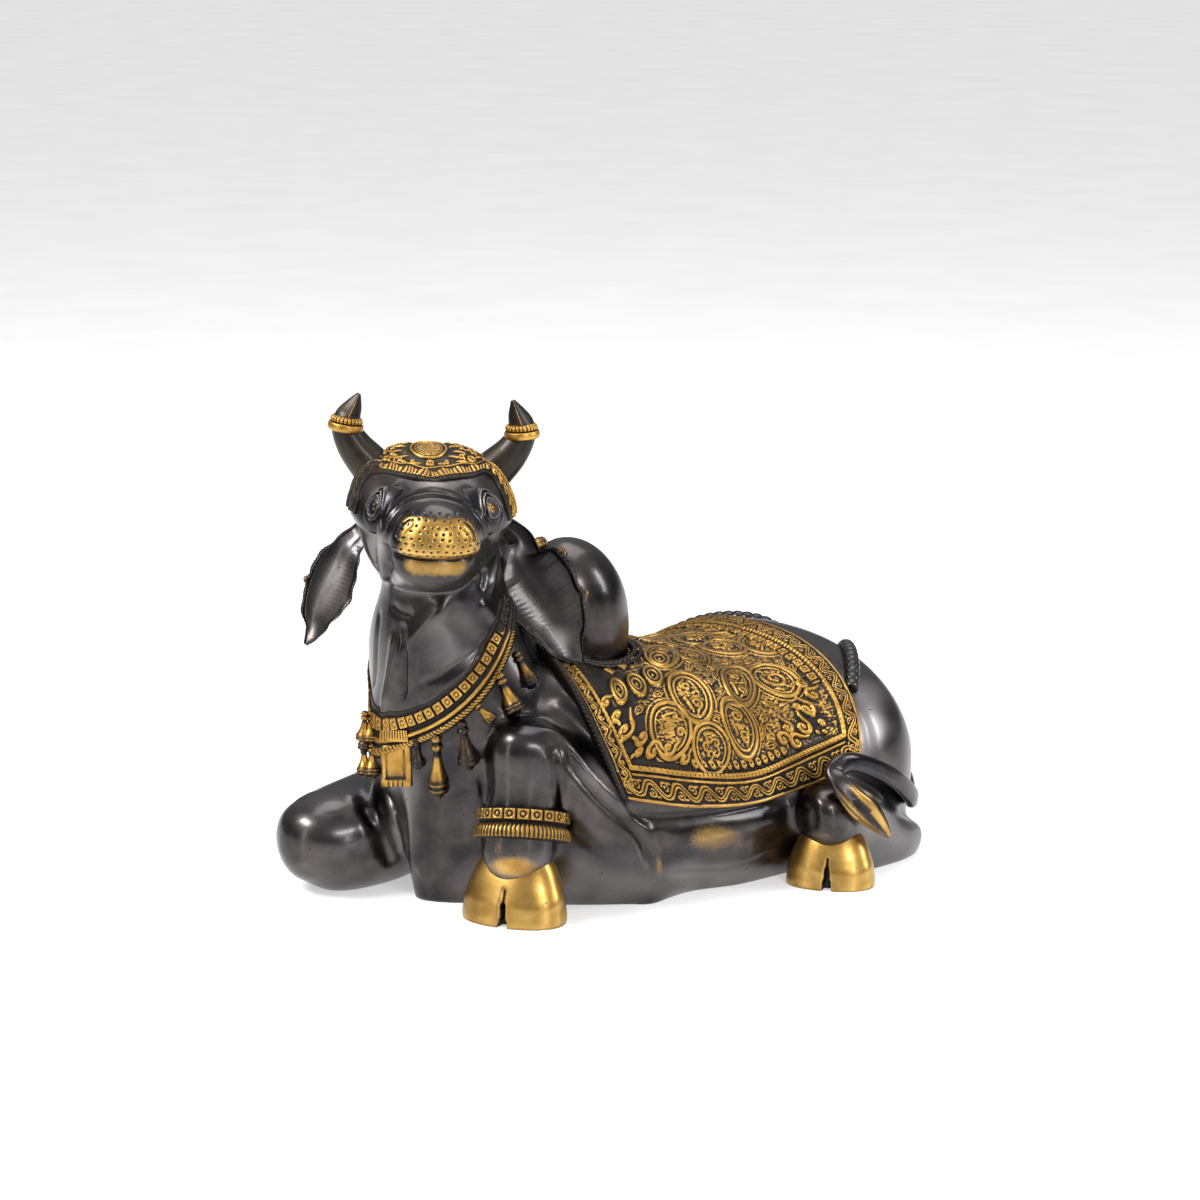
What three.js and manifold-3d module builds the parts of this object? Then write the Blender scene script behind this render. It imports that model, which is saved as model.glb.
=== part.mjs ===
// A reclining nandi bull, one hollow casting, as one closed solid.
// Millimetres, +Z up. The bull faces -Y and its left side is +X. The origin is on the floor,
// under the middle of the figure.
import * as THREE from "three";
import { mergeVertices } from "three/addons/utils/BufferGeometryUtils.js";
import Module from "manifold-3d";

const wasm = await Module();
wasm.setup();

// Driving sizes.
const bullLength = 345; // from the folded knee to the rump
const blanketThickness = 2.2;
const edgeRollRadius = 2.2; // the knurled roll on the blanket's front edge
const bandRise = 1.1; // the blanket's borders over its field
const ringRadius = 1.9; // the moulding round the hump
const medallionLength = 28;
const medallionWidth = 22;
const medallionHeight = 1.1;
const rosetteLength = 14;
const rosetteWidth = 9;
const necklaceRadius = 2.4;
const beadSide = 4.6;
const bellLength = 18;
const bellRadius = 5;
const ankletRadius = 3.8;
const capThickness = 2.2;
const hornBandRadius = 2.2;
const earThickness = 4.2;
const tailThickness = 6.5;
const crupperRadius = 3;
const cleftWidth = 4;

// The body is a free form: its pose and proportions are shares of its length.
// The rows below read as millimetres on a bull 345 long.
const unit = bullLength / 345;
const inShares = (rows) => rows.map((row) => row.map((value) => value * unit));
const point = (x, y, z) => new THREE.Vector3(x, y, z);
const UP = point(0, 0, 1);
const BODY_LEFT = point(1, 0, 0);
const TURN = Math.PI * 2;

// Numbers

const clamp = (value, low, high) => Math.min(high, Math.max(low, value));
const mix = (a, b, t) => a + (b - a) * t;
// A power that keeps the sign, for rings fuller than an ellipse.
const shaped = (value, power) => Math.sign(value) * Math.abs(value) ** power;

// The row at a value of the rows' first column, on a smooth curve through them.
function rowAt(rows, value) {
  const last = rows.length - 1;
  const x = clamp(value, rows[0][0], rows[last][0]);
  let k = 0;
  while (k < last - 1 && rows[k + 1][0] < x) k++;
  const [a, b] = [rows[k], rows[k + 1]];
  const before = rows[Math.max(k - 1, 0)];
  const after = rows[Math.min(k + 2, last)];
  const width = b[0] - a[0];
  const t = (x - a[0]) / width;
  return a.map((from, j) => {
    const to = b[j];
    const leaving = ((to - before[j]) / (b[0] - before[0])) * width;
    const arriving = ((after[j] - from) / (after[0] - a[0])) * width;
    const bend = (1 - t) * leaving * t * (1 - t) - t * arriving * t * (1 - t);
    return from * (1 + 2 * t) * (1 - t) ** 2 + to * t * t * (3 - 2 * t) + bend;
  });
}

// Evenly spaced rows on a smooth curve through rows, whatever their columns hold.
function rowsThrough(rows, count) {
  const counted = rows.map((row, k) => [k, ...row]);
  const spread = (i) => (i / (count - 1)) * (rows.length - 1);
  return Array.from({ length: count }, (_, i) => rowAt(counted, spread(i)).slice(1));
}

// Solids

function solidOf(vertices, triangles) {
  const geometry = new THREE.BufferGeometry().setFromPoints(vertices);
  geometry.setIndex(triangles);
  const merged = mergeVertices(geometry, 1e-4);
  const made = new wasm.Manifold(
    new wasm.Mesh({
      numProp: 3,
      vertProperties: merged.attributes.position.array,
      triVerts: new Uint32Array(merged.index.array),
    }),
  );
  if (made.volume() > 0) return made;
  const turned = [];
  for (let i = 0; i < triangles.length; i += 3) {
    turned.push(triangles[i], triangles[i + 2], triangles[i + 1]);
  }
  return solidOf(vertices, turned);
}

// The solid whose skin runs from ring to ring, closed by a fan at each end.
function skin(rings) {
  const sides = rings[0].length;
  const vertices = rings.flat();
  const triangles = [];
  const at = (ring, side) => ring * sides + (side % sides);
  for (let r = 0; r < rings.length - 1; r++) {
    for (let s = 0; s < sides; s++) {
      triangles.push(at(r, s), at(r, s + 1), at(r + 1, s));
      triangles.push(at(r, s + 1), at(r + 1, s + 1), at(r + 1, s));
    }
  }
  const middleOf = (ring) => {
    const sum = ring.reduce((total, vertex) => total.add(vertex), point(0, 0, 0));
    return vertices.push(sum.divideScalar(sides)) - 1;
  };
  const first = middleOf(rings[0]);
  const last = middleOf(rings[rings.length - 1]);
  for (let s = 0; s < sides; s++) {
    triangles.push(first, at(0, s + 1), at(0, s));
    triangles.push(last, at(rings.length - 1, s), at(rings.length - 1, s + 1));
  }
  return solidOf(vertices, triangles);
}

const joined = (solids) => solids.reduce((whole, solid) => whole.add(solid));

// A limb along a smooth path. A row holds the centre's x, y and z, the half width along `across`,
// and the half heights on the two other sides.
function limb(rows, across, { rings, sides, fullness = 2 }) {
  const spine = rowsThrough(rows, rings);
  const centres = spine.map(([x, y, z]) => point(x, y, z));
  return skin(
    spine.map(([, , , half, over, under], i) => {
      const ahead = centres[Math.min(i + 1, rings - 1)];
      const behind = centres[Math.max(i - 1, 0)];
      const along = ahead.clone().sub(behind).normalize();
      const side = across.clone().addScaledVector(along, -across.dot(along)).normalize();
      const rise = along.clone().cross(side);
      return Array.from({ length: sides }, (_, s) => {
        const angle = (s / sides) * TURN;
        const lift = shaped(Math.sin(angle), 2 / fullness);
        return centres[i]
          .clone()
          .addScaledVector(side, half * shaped(Math.cos(angle), 2 / fullness))
          .addScaledVector(rise, lift * (lift > 0 ? over : under));
      });
    }),
  );
}

// A cord of four sides through points, with pointed ends.
function cord(points, radius) {
  const rows = points.map((p, i) => {
    const thick = i === 0 || i === points.length - 1 ? radius * 0.5 : radius;
    return [p.x, p.y, p.z, thick, thick, thick];
  });
  const run = points[points.length - 1].clone().sub(points[0]);
  const across = Math.abs(run.z) > Math.abs(run.y) + Math.abs(run.x) ? point(1, 0, 0) : UP;
  return limb(rows, across, { rings: rows.length, sides: 4 });
}

// A closed ring of cord through points, made of two halves that lap.
function closedCord(points, radius) {
  const half = Math.ceil(points.length / 2);
  const around = [...points, ...points];
  const lap = 2;
  return cord(around.slice(0, half + lap), radius).add(
    cord(around.slice(half, points.length + lap), radius),
  );
}

// A lathed solid with its axis along `axis`. A profile row is the radius and the height.
function turnedOn(origin, axis, profile, sides = 8) {
  const side = new THREE.Vector3().crossVectors(axis, Math.abs(axis.z) > 0.9 ? point(1, 0, 0) : UP);
  side.normalize();
  const other = axis.clone().cross(side);
  return skin(
    profile.map(([radius, height]) =>
      Array.from({ length: sides }, (_, s) => {
        const angle = (s / sides) * TURN;
        return origin
          .clone()
          .addScaledVector(axis, height)
          .addScaledVector(side, radius * Math.cos(angle))
          .addScaledVector(other, radius * Math.sin(angle));
      }),
    ),
  );
}

// Torso: rings across Y. A row is y, the half width, the foot's half width, the waist's height
// and the top's height.
const torsoRows = inShares([
  [-108, 8, 1, 60, 100],
  [-98, 24, 5, 60, 116],
  [-80, 46, 20, 58, 126],
  [-60, 65, 38, 56, 126],
  [-42, 78, 52, 54, 119],
  [-20, 85, 66, 52, 110],
  [6, 88, 60, 50, 108],
  [30, 88, 69, 48, 107],
  [52, 88, 69, 48, 100],
  [74, 90, 66, 47, 100],
  [95, 93, 62, 47, 102],
  [118, 92, 60, 47, 105.5],
  [138, 83, 57, 46, 98],
  [151, 69, 47, 44, 78],
  [160, 52, 32, 42, 62],
  [167, 31, 15, 40, 52],
  [170, 12, 5, 38, 44],
]);
const torsoFullness = 2.25;
const floorDepth = 4 * unit;

// The torso's skin at y. The angle is 0 at the left waist, a quarter turn at the spine.
function torsoPoint(y, angle, lift = 0) {
  const [, half, foot, waist, top] = rowAt(torsoRows, y);
  const across = shaped(Math.cos(angle), 2 / torsoFullness);
  const rise = shaped(Math.sin(angle), 2 / torsoFullness);
  if (rise >= 0) return point((half + lift) * across, y, waist + (top - waist + lift) * rise);
  const drop = clamp(-rise, 0, 1);
  const width = foot + (half - foot) * Math.sqrt(1 - drop * drop);
  return point(Math.sign(across) * (width + lift), y, waist - (waist + floorDepth) * drop);
}

function torso() {
  const sides = 20;
  const ringCount = 16;
  const [first, last] = [torsoRows[0][0], torsoRows[torsoRows.length - 1][0]];
  return skin(
    Array.from({ length: ringCount }, (_, i) => {
      const y = mix(first, last, i / (ringCount - 1));
      return Array.from({ length: sides }, (_, s) => torsoPoint(y, ((s + 0.5) / sides) * TURN));
    }),
  );
}

// Neck: level rings. A row is the height, the centre's x and y, the half width, the reach to the
// dewlap and the reach to the nape.
const neckRows = inShares([
  [-4, 0, -70, 26, 37, 30],
  [30, 0, -71, 36, 42, 34],
  [62, 0, -74, 44, 45, 40],
  [90, 0, -78, 48, 45, 44],
  [108, 0, -83, 46, 44, 46],
  [125, 0, -87, 41, 43, 44],
  [140, 1, -91, 35, 40, 40],
  [155, 3, -93, 30, 37, 36],
  [170, 4, -95, 28, 30, 32],
  [186, 3, -97, 25, 22, 26],
]);
const headTurn = THREE.MathUtils.degToRad(58.5);
const keelFullness = 1.65;

// The neck turns from the body's front at the chest to the head's front at the throat.
function neckTurn(height) {
  const t = clamp((height / unit - 70) / 95, 0, 1);
  return headTurn * t * t * (3 - 2 * t);
}

// The neck's skin at a height. The angle is 0 at the dewlap, positive to the bull's left.
function neckPoint(height, angle, lift = 0) {
  const [, x, y, half, front, back] = rowAt(neckRows, height);
  const turn = neckTurn(height);
  const ahead = Math.cos(angle);
  const fullness = ahead > 0 ? keelFullness : 2;
  const reach = shaped(ahead, 2 / fullness) * ((ahead > 0 ? front : back) + lift);
  const side = shaped(Math.sin(angle), 2 / fullness) * (half + lift);
  return point(
    x + reach * Math.sin(turn) + side * Math.cos(turn),
    y - reach * Math.cos(turn) + side * Math.sin(turn),
    height,
  );
}

function neck() {
  const sides = 16;
  const ringCount = 12;
  const [first, last] = [neckRows[0][0], neckRows[neckRows.length - 1][0]];
  return skin(
    Array.from({ length: ringCount }, (_, i) => {
      const height = mix(first, last, i / (ringCount - 1));
      return Array.from({ length: sides }, (_, s) => neckPoint(height, (s / sides) * TURN));
    }),
  );
}

// The crest of the neck, from the hump to the poll.
function crest() {
  return limb(
    inShares([
      [0, -12, 108, 15, 14, 20],
      [0, -32, 128, 17, 17, 24],
      [-1, -50, 146, 19, 17, 28],
      [-4, -66, 163, 20, 17, 28],
      [-7, -79, 178, 20, 15, 24],
      [-9, -88, 190, 12, 8, 12],
    ]),
    BODY_LEFT,
    { rings: 7, sides: 9 },
  );
}

// The hump: an egg that stands on the withers and leans to the front.
const humpCentre = point(0, -13, 133).multiplyScalar(unit);
const humpRadius = 27 * unit;
const humpHeight = 36 * unit;

function hump() {
  const lean = -0.13;
  const levels = 9;
  const sides = 13;
  return skin(
    Array.from({ length: levels }, (_, i) => {
      const rise = THREE.MathUtils.degToRad(mix(-72, 84, i / (levels - 1)));
      const z = humpHeight * Math.sin(rise);
      const radius = humpRadius * Math.cos(rise) ** (rise < 0 ? 0.45 : 1);
      return Array.from({ length: sides }, (_, s) => {
        const angle = (s / sides) * TURN;
        const along = radius * Math.sin(angle) + z * lean;
        return humpCentre.clone().add(point(radius * Math.cos(angle), along, z));
      });
    }),
  );
}

// Head: rings across its own forward axis, in a frame turned to the bull's left.
const headCentre = point(0, -98, 190).multiplyScalar(unit);
const headRoll = THREE.MathUtils.degToRad(-3.5);
const forward = point(Math.sin(headTurn), -Math.cos(headTurn), 0);
const levelLeft = point(Math.cos(headTurn), Math.sin(headTurn), 0);
const headLeft = levelLeft.clone().applyAxisAngle(forward, headRoll);
const headUp = UP.clone().applyAxisAngle(forward, headRoll);

const onHead = (ahead, left, up) =>
  headCentre
    .clone()
    .addScaledVector(forward, ahead)
    .addScaledVector(headLeft, left)
    .addScaledVector(headUp, up);

// A row is the distance ahead, the half width, its height, the top and the bottom.
const headRows = inShares([
  [-32, 14, 2, 14, -12],
  [-26, 27, 2, 25, -22],
  [-12, 36.5, 2, 32, -30],
  [2, 39.5, 2, 31, -33],
  [10, 38.5, 1, 28.3, -33],
  [16, 36.8, 0, 25.2, -33],
  [21, 34.3, -1, 22.8, -32.6],
  [25, 31.4, -2, 20.8, -32],
  [28, 28.6, -3, 19, -31.4],
  [31, 26, -4, 17.4, -30.6],
  [36, 24, -5, 15.4, -29],
  [42, 22, -5, 13, -27],
  [49, 18, -4, 10, -24],
]);

// The face narrows from the eyes to the jaw, and is squarer under the eyes than over them.
const jawNarrowing = 0.26;
const crownRoundness = 0.85;
const jawRoundness = 0.55;

function headPoint(ahead, angle, lift = 0) {
  const [, half, waist, top, bottom] = rowAt(headRows, ahead);
  const roundness = Math.sin(angle) > 0 ? crownRoundness : jawRoundness;
  const rise = shaped(Math.sin(angle), roundness);
  const reach = rise > 0 ? top - waist + lift : waist - bottom + lift;
  const width = (half + lift) * (1 - jawNarrowing * Math.sqrt(Math.max(-rise, 0)));
  return onHead(ahead, width * shaped(Math.cos(angle), roundness), waist + reach * rise);
}

function head() {
  const sides = 18;
  const ringCount = 10;
  const [first, last] = [headRows[0][0], headRows[headRows.length - 1][0]];
  return skin(
    Array.from({ length: ringCount }, (_, i) => {
      const ahead = mix(first, last, i / (ringCount - 1));
      return Array.from({ length: sides }, (_, s) => headPoint(ahead, (s / sides) * TURN));
    }),
  );
}

// The muzzle is a ball in front of the nose, with the lower lip under the mouth line.
function muzzle() {
  const ball = (ahead, up, depth, half, over, under) => {
    const rows = inShares(
      [-80, -45, -15, 15, 40, 62, 80].map((degrees) => {
        const lean = THREE.MathUtils.degToRad(degrees);
        const share = Math.cos(lean);
        const at = ahead + depth * Math.sin(lean);
        return [at, half * share, over * share, under * share, up];
      }),
    );
    return skin(
      rows.map(([at, width, top, bottom, centre]) =>
        Array.from({ length: 14 }, (_, s) => {
          const angle = (s / 14) * TURN;
          const rise = Math.sin(angle);
          return onHead(at, width * Math.cos(angle), centre + rise * (rise > 0 ? top : bottom));
        }),
      ),
    );
  };
  return ball(46, -5, 17, 21.4, 20.5, 7).add(ball(43, -13, 15, 19, 9, 14.8));
}

// Horns: out, up and in, with a double band under the tip. A row is the height over the head's
// centre, the distance ahead, the distance to the side and the radius.
const hornRows = inShares([
  [14, -8, 22, 10.5],
  [22, -8, 30, 9.8],
  [30, -8, 37.2, 8.4],
  [38, -8, 41.6, 7],
  [44, -7, 41.4, 6.4],
  [50, -6, 39, 4.4],
  [56, -5, 36.6, 1.6],
]);
const hornBandHeight = 41.5 * unit;

function horn(side) {
  const rows = hornRows.map(([up, ahead, left, radius]) => {
    const centre = onHead(ahead, side * left, up);
    return [centre.x, centre.y, centre.z, radius, radius, radius];
  });
  const [, ahead, left, thickness] = rowAt(hornRows, hornBandHeight);
  const radius = thickness * 0.9;
  const bands = turnedOn(
    onHead(ahead, side * left, hornBandHeight),
    headUp.clone().addScaledVector(headLeft, -0.12 * side).normalize(),
    [
      [radius * 0.6, -hornBandRadius * 1.7],
      [radius + hornBandRadius, -hornBandRadius],
      [radius + hornBandRadius * 0.4, hornBandRadius * 0.2],
      [radius + hornBandRadius * 0.8, hornBandRadius],
      [radius * 0.5, hornBandRadius * 1.8],
    ],
  );
  return limb(rows, forward, { rings: 9, sides: 8 }).add(bands);
}

// Ears hang as cupped leaves, and the right one swings back. A row is ahead, left, up of the
// midrib and the half width.
const earRows = {
  left: inShares([
    [-14, 36, -6, 5],
    [-11, 43.6, -12.5, 7],
    [-7, 47.6, -20.5, 11],
    [-3, 51.8, -27.4, 15.4],
    [0, 57.7, -36.2, 16.1],
    [3, 63, -46.1, 14.1],
    [5, 67.9, -57.6, 9.2],
    [6, 76, -68.2, 2],
  ]),
  right: inShares([
    [-14, 30, -10, 4.5],
    [-14, 33.5, -14.5, 5],
    [-12, 38.5, -20, 6.7],
    [-9, 43.2, -30, 9.9],
    [-6, 47.3, -39.6, 10.3],
    [-3, 51.2, -50, 7.9],
    [-1, 53.8, -59.2, 3.6],
    [0, 56.8, -65.5, 1.8],
  ]),
};
const rightEarSwing = 0.8;

function ear(side) {
  const rows = rowsThrough(side > 0 ? earRows.left : earRows.right, 8);
  const swing = side > 0 ? 0 : rightEarSwing;
  return skin(
    rows.map(([ahead, left, up, half], i) => {
      const next = rows[Math.min(i + 1, rows.length - 1)];
      const from = rows[Math.max(i - 1, 0)];
      const slope = Math.hypot(next[1] - from[1], next[2] - from[2]);
      const [outX, outZ] = [-(next[2] - from[2]) / slope, (next[1] - from[1]) / slope];
      const leaf = [-1, -0.5, 0, 0.5, 1];
      const cup = (t) => 0.3 * half * t * t - swing * half * t;
      const place = (t, lift) =>
        onHead(ahead + cup(t) + lift, side * (left + outX * half * t), up + outZ * half * t);
      const front = leaf.map((t) => place(t, (1 - t * t * 0.6) * earThickness * 0.5));
      const back = leaf.map((t) => place(t, -(1 - t * t * 0.6) * earThickness * 0.5)).reverse();
      return [...front, ...back];
    }),
  );
}

// The cap covers the poll and the forehead, with side bands in front of the ears.
function cap() {
  const columns = 14;
  const rows = 4;
  const back = -16;
  const reach = 80;
  // The front edge: degrees down from the crown, and the distance ahead.
  const frontEdge = [
    [0, 25],
    [20, 21],
    [28, 16],
    [37, 11],
    [46, 11],
    [57, 14.5],
    [70, 17],
    [80, 17.5],
  ];
  const sheet = (lift) =>
    Array.from({ length: rows + 1 }, (_, r) =>
      Array.from({ length: columns + 1 }, (_, c) => {
        const down = reach * (1 - (2 * c) / columns);
        const [, front] = rowAt(frontEdge, Math.abs(down));
        const ahead = mix(back, front, r / rows) * unit;
        return headPoint(ahead, Math.PI / 2 + THREE.MathUtils.degToRad(down), lift);
      }),
    );
  const outer = sheet(capThickness);
  const inner = sheet(-capThickness);
  return skin(outer.map((row, i) => [...row, ...[...inner[i]].reverse()]));
}

function eye(side) {
  const round = THREE.MathUtils.degToRad(30);
  const centre = headPoint(25 * unit, side > 0 ? round : Math.PI - round, 0);
  const outward = headLeft.clone().multiplyScalar(side * 0.7).addScaledVector(forward, 0.8);
  return turnedOn(
    centre,
    outward.normalize(),
    inShares([
      [5, -3],
      [5.5, 0.4],
      [4.2, 1.8],
      [1.8, 2.4],
    ]),
    10,
  );
}

// Legs

// The left cannon stands. A row is the height, the centre's x and y, the half width and the half
// depths.
const cannonRows = inShares([
  [20, 53, -88, 17, 14, 14],
  [28, 54, -88, 19, 17, 17],
  [36, 53, -86, 20, 17, 18],
  [46, 52, -85, 18.5, 17, 17],
  [58, 51, -84, 16.5, 16, 16],
  [70, 50, -83, 17, 16, 16],
  [84, 50, -83, 17.5, 16, 16],
  [93, 50, -83, 13, 12, 12],
  [97, 50, -83, 5, 5, 5],
]);

function leftForeleg() {
  const forearm = limb(
    inShares([
      [50, -92, 88, 7, 7, 7],
      [51, -84, 84, 16, 13, 15],
      [56, -68, 72, 19, 17, 18],
      [63, -52, 56, 19, 17, 18],
      [66, -38, 38, 17, 16, 17],
      [67, -26, 20, 13, 14, 15],
      [67, -20, 4, 9, 10, 10],
      [67, -19, -3, 8, 8, 8],
    ]),
    point(0.85, 0.5, 0).normalize(),
    { rings: 9, sides: 12 },
  );
  const upright = cannonRows.map(([z, x, y, ...radii]) => [x, y, z, ...radii]);
  const cannon = limb(upright.reverse(), levelLeft, { rings: 10, sides: 12 });
  const [, footX, footY] = cannonRows[0];
  return joined([forearm, cannon, hoof(footX, footY, 31, 26 * unit, 31 * unit)]);
}

// A hoof facing `turn` degrees to the left of the body's front, cut by its cleft.
function hoof(x, y, turn, half, height) {
  const facing = THREE.MathUtils.degToRad(turn);
  const ahead = point(Math.sin(facing), -Math.cos(facing), 0);
  const left = point(Math.cos(facing), Math.sin(facing), 0);
  const centre = point(x, y, 0);
  const place = (front, side, up) =>
    centre.clone().addScaledVector(ahead, front).addScaledVector(left, side).addScaledVector(UP, up);
  const rings = [
    [1, -0.1, 0],
    [0.99, 0.12, 0],
    [0.93, 0.38, -0.02],
    [0.8, 0.66, -0.07],
    [0.66, 0.88, -0.12],
    [0.5, 1.04, -0.15],
  ].map(([spread, rise, back]) =>
    Array.from({ length: 12 }, (_, s) => {
      const angle = (s / 12) * TURN;
      const reach = shaped(Math.cos(angle), 0.9) * half * 0.62 * spread;
      return place(reach + back * half, half * spread * shaped(Math.sin(angle), 0.9), rise * height);
    }),
  );
  const depth = half * 0.36;
  const wedge = skin([
    [
      place(depth, -cleftWidth * 0.1, -height * 0.2),
      place(depth, cleftWidth * 0.1, -height * 0.2),
      place(depth, 0, height * 0.5),
    ],
    [
      place(half * 0.7, -cleftWidth * 0.55, -height * 0.2),
      place(half * 0.7, cleftWidth * 0.55, -height * 0.2),
      place(half * 0.7, 0, height * 0.62),
    ],
  ]);
  return skin(rings).subtract(wedge);
}

function rightForeleg() {
  const forearm = limb(
    inShares([
      [-46, -62, 44, 18, 12, 30],
      [-45, -84, 40, 24, 17, 40],
      [-43, -105, 34, 27, 20, 38],
      [-42, -126, 28, 28, 22, 32],
      [-42, -144, 24, 23, 21, 24],
      [-42, -154, 21, 13, 13, 14],
      [-42, -158, 20, 4, 4, 4],
    ]),
    BODY_LEFT,
    { rings: 9, sides: 12 },
  );
  const foldedCannon = limb(
    inShares([
      [-56, -138, 15, 9, 9, 9],
      [-63, -126, 15, 15, 14, 16],
      [-73, -105, 14, 12, 12, 15],
      [-80, -89, 14, 12, 12, 15],
      [-84, -78, 14, 14, 14, 15],
      [-86, -70, 13, 11, 11, 14],
      [-88, -61, 13, 13, 12, 14],
      [-90, -50, 13, 15, 14, 14],
    ]),
    BODY_LEFT,
    { rings: 10, sides: 10 },
  );
  return forearm.add(foldedCannon);
}

function hindLeg(side) {
  const across = (rows) => rows.map(([x, ...rest]) => [side * x, ...rest]);
  const shank = limb(
    across(
      inShares([
        [70, 141, 8, 7, 4, 12],
        [76, 135, 9, 15, 8, 14],
        [79, 124, 11, 19, 11, 16],
        [83, 110, 15, 18, 15, 20],
        [90, 94, 23, 15, 19, 27],
        [96, 82, 31, 15, 17, 26],
        [98, 72, 35, 16, 15.5, 20],
        [99, 61, 35.5, 14, 13, 15],
        [99, 55, 35, 7, 7, 8],
      ]),
    ),
    BODY_LEFT,
    { rings: 9, sides: 12, fullness: 2.6 },
  );
  return shank.add(hoof(side * 102 * unit, 69 * unit, side * 40, 22 * unit, 27 * unit));
}

// Tail: down the rump, forward over the thigh, and back on itself in a loop.
function tail() {
  const [flat, thick] = [tailThickness * 0.85, tailThickness * 0.5];
  const path = inShares([
    [0, 134, 94],
    [4, 149, 80],
    [14, 161, 59],
    [34, 165, 41],
    [60, 156, 31],
    [84, 138, 28],
    [96, 127, 34],
    [103, 111, 46],
    [105, 95, 55],
    [106, 81, 61],
    [106, 72, 62],
    [107, 66, 59],
    [112, 65, 55],
    [117, 69, 48],
    [120, 77, 40],
    [121, 84, 32],
    [121, 90, 25],
  ]);
  const rows = path.map(([x, y, z], i) => {
    const taper = i === 0 || i === path.length - 1 ? 0.5 : 1;
    return [x, y, z, flat * taper, thick * taper, thick * taper];
  });
  return limb(rows, UP, { rings: 22, sides: 6 });
}

// Blanket: a slab on the torso's skin. The share runs from 0 at the left hem to 1 at the right.
const blanketFront = -56 * unit;
const blanketRear = 109 * unit;
const hemBand = 0.055;
const edgeBand = 0.07;

function blanketPlace(share, along, lift) {
  const down = Math.abs(share * 2 - 1);
  const front = blanketFront + 12 * unit * down ** 3;
  const rear = blanketRear - 16 * unit * down ** 2;
  const y = mix(front, rear, along);
  const hem = 0.05 - 0.09 * Math.sin(along * Math.PI) + 0.08 * along ** 6;
  const angle = mix(hem, Math.PI - hem, share);
  return torsoPoint(y, angle, lift);
}

// Places from 0 to 1 with a band at each end that steps down to the field.
function banded(band, step, count) {
  const field = band + step;
  const inner = Array.from({ length: count + 1 }, (_, i) => mix(field, 1 - field, i / count));
  return [0, band, ...inner, 1 - band, 1];
}

// The slab: a raised roll on the front edge, raised bands round it and the field inside them.
function blanket() {
  const step = 0.012; // the share over which a band drops to the field
  const rollShare = (2 * edgeRollRadius) / (blanketRear - blanketFront);
  const shares = banded(hemBand, step, 12);
  const [start, ...rest] = banded(edgeBand, step, 7);
  const runs = [start, rollShare, rollShare + step, ...rest];
  const inBand = (value, band) => value <= band || value >= 1 - band;
  const rise = (share, along) => {
    if (along <= rollShare) return edgeRollRadius;
    return inBand(share, hemBand) || inBand(along, edgeBand) ? bandRise : 0;
  };
  const outer = runs.map((along) =>
    shares.map((share) => blanketPlace(share, along, blanketThickness + rise(share, along))),
  );
  const inner = runs.map((along) =>
    shares.map((share) => blanketPlace(share, along, -blanketThickness)).reverse(),
  );
  return skin(outer.map((row, i) => [...row, ...inner[i]]));
}

// A low oval boss on the blanket, its length `slant` off the way up to the spine.
function boss(share, along, length, width, slant, sides) {
  const probe = 0.004;
  const on = (over, back, lift) =>
    blanketPlace(share + over, along + back, blanketThickness + lift);
  const centre = on(0, 0, 0);
  const up = on(share < 0.5 ? probe : -probe, 0, 0).sub(centre).normalize();
  const back = on(0, probe, 0).sub(centre).normalize();
  const out = up.clone().cross(back).normalize();
  if (out.dot(on(0, 0, 1).sub(centre)) < 0) out.negate();
  const ring = (spread, lift) =>
    Array.from({ length: sides }, (_, s) => {
      const angle = (s / sides) * TURN;
      const long = Math.cos(angle) * length * 0.5 * spread;
      const short = Math.sin(angle) * width * 0.5 * spread;
      return centre
        .clone()
        .addScaledVector(up, long * Math.cos(slant) - short * Math.sin(slant))
        .addScaledVector(back, long * Math.sin(slant) + short * Math.cos(slant))
        .addScaledVector(out, lift);
    });
  return skin([ring(1, -medallionHeight * 2), ring(0.85, medallionHeight)]);
}

// Where the medallions and the rosettes round the hump lie on the left half, as share and along.
const medallionPlaces = [
  [0.2, 0.25],
  [0.16, 0.39],
  [0.33, 0.42],
  [0.19, 0.54],
  [0.33, 0.64],
  [0.32, 0.79],
  [0.44, 0.86],
];
const rosettePlaces = [
  [0.31, 0.16],
  [0.34, 0.25],
  [0.38, 0.34],
  [0.43, 0.43],
];

function medallions() {
  const solids = [];
  for (const across of [(share) => share, (share) => 1 - share]) {
    for (const [share, along] of medallionPlaces) {
      solids.push(boss(across(share), along, medallionLength, medallionWidth, -0.35, 8));
    }
    for (const [share, along] of rosettePlaces) {
      solids.push(boss(across(share), along, rosetteLength, rosetteWidth, 0.5, 6));
    }
  }
  return joined(solids);
}

// Necklace: a cord on a slanting plane, low on the chest and high on the nape, with a row of beads
// over it and a row of bells under it. `drop` is the distance under the cord's middle.
const necklaceMiddle = point(0, -85, 127).multiplyScalar(unit);
const necklaceNormal = point(0.023, -0.756, 0.654).normalize();

function necklacePoint(angle, drop, lift) {
  let low = neckRows[0][0];
  let high = neckRows[neckRows.length - 1][0];
  for (let i = 0; i < 30; i++) {
    const height = (low + high) / 2;
    const over = neckPoint(height, angle, lift).sub(necklaceMiddle).dot(necklaceNormal);
    [low, high] = over > -drop ? [low, height] : [height, high];
  }
  return neckPoint(low, angle, lift);
}

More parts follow.
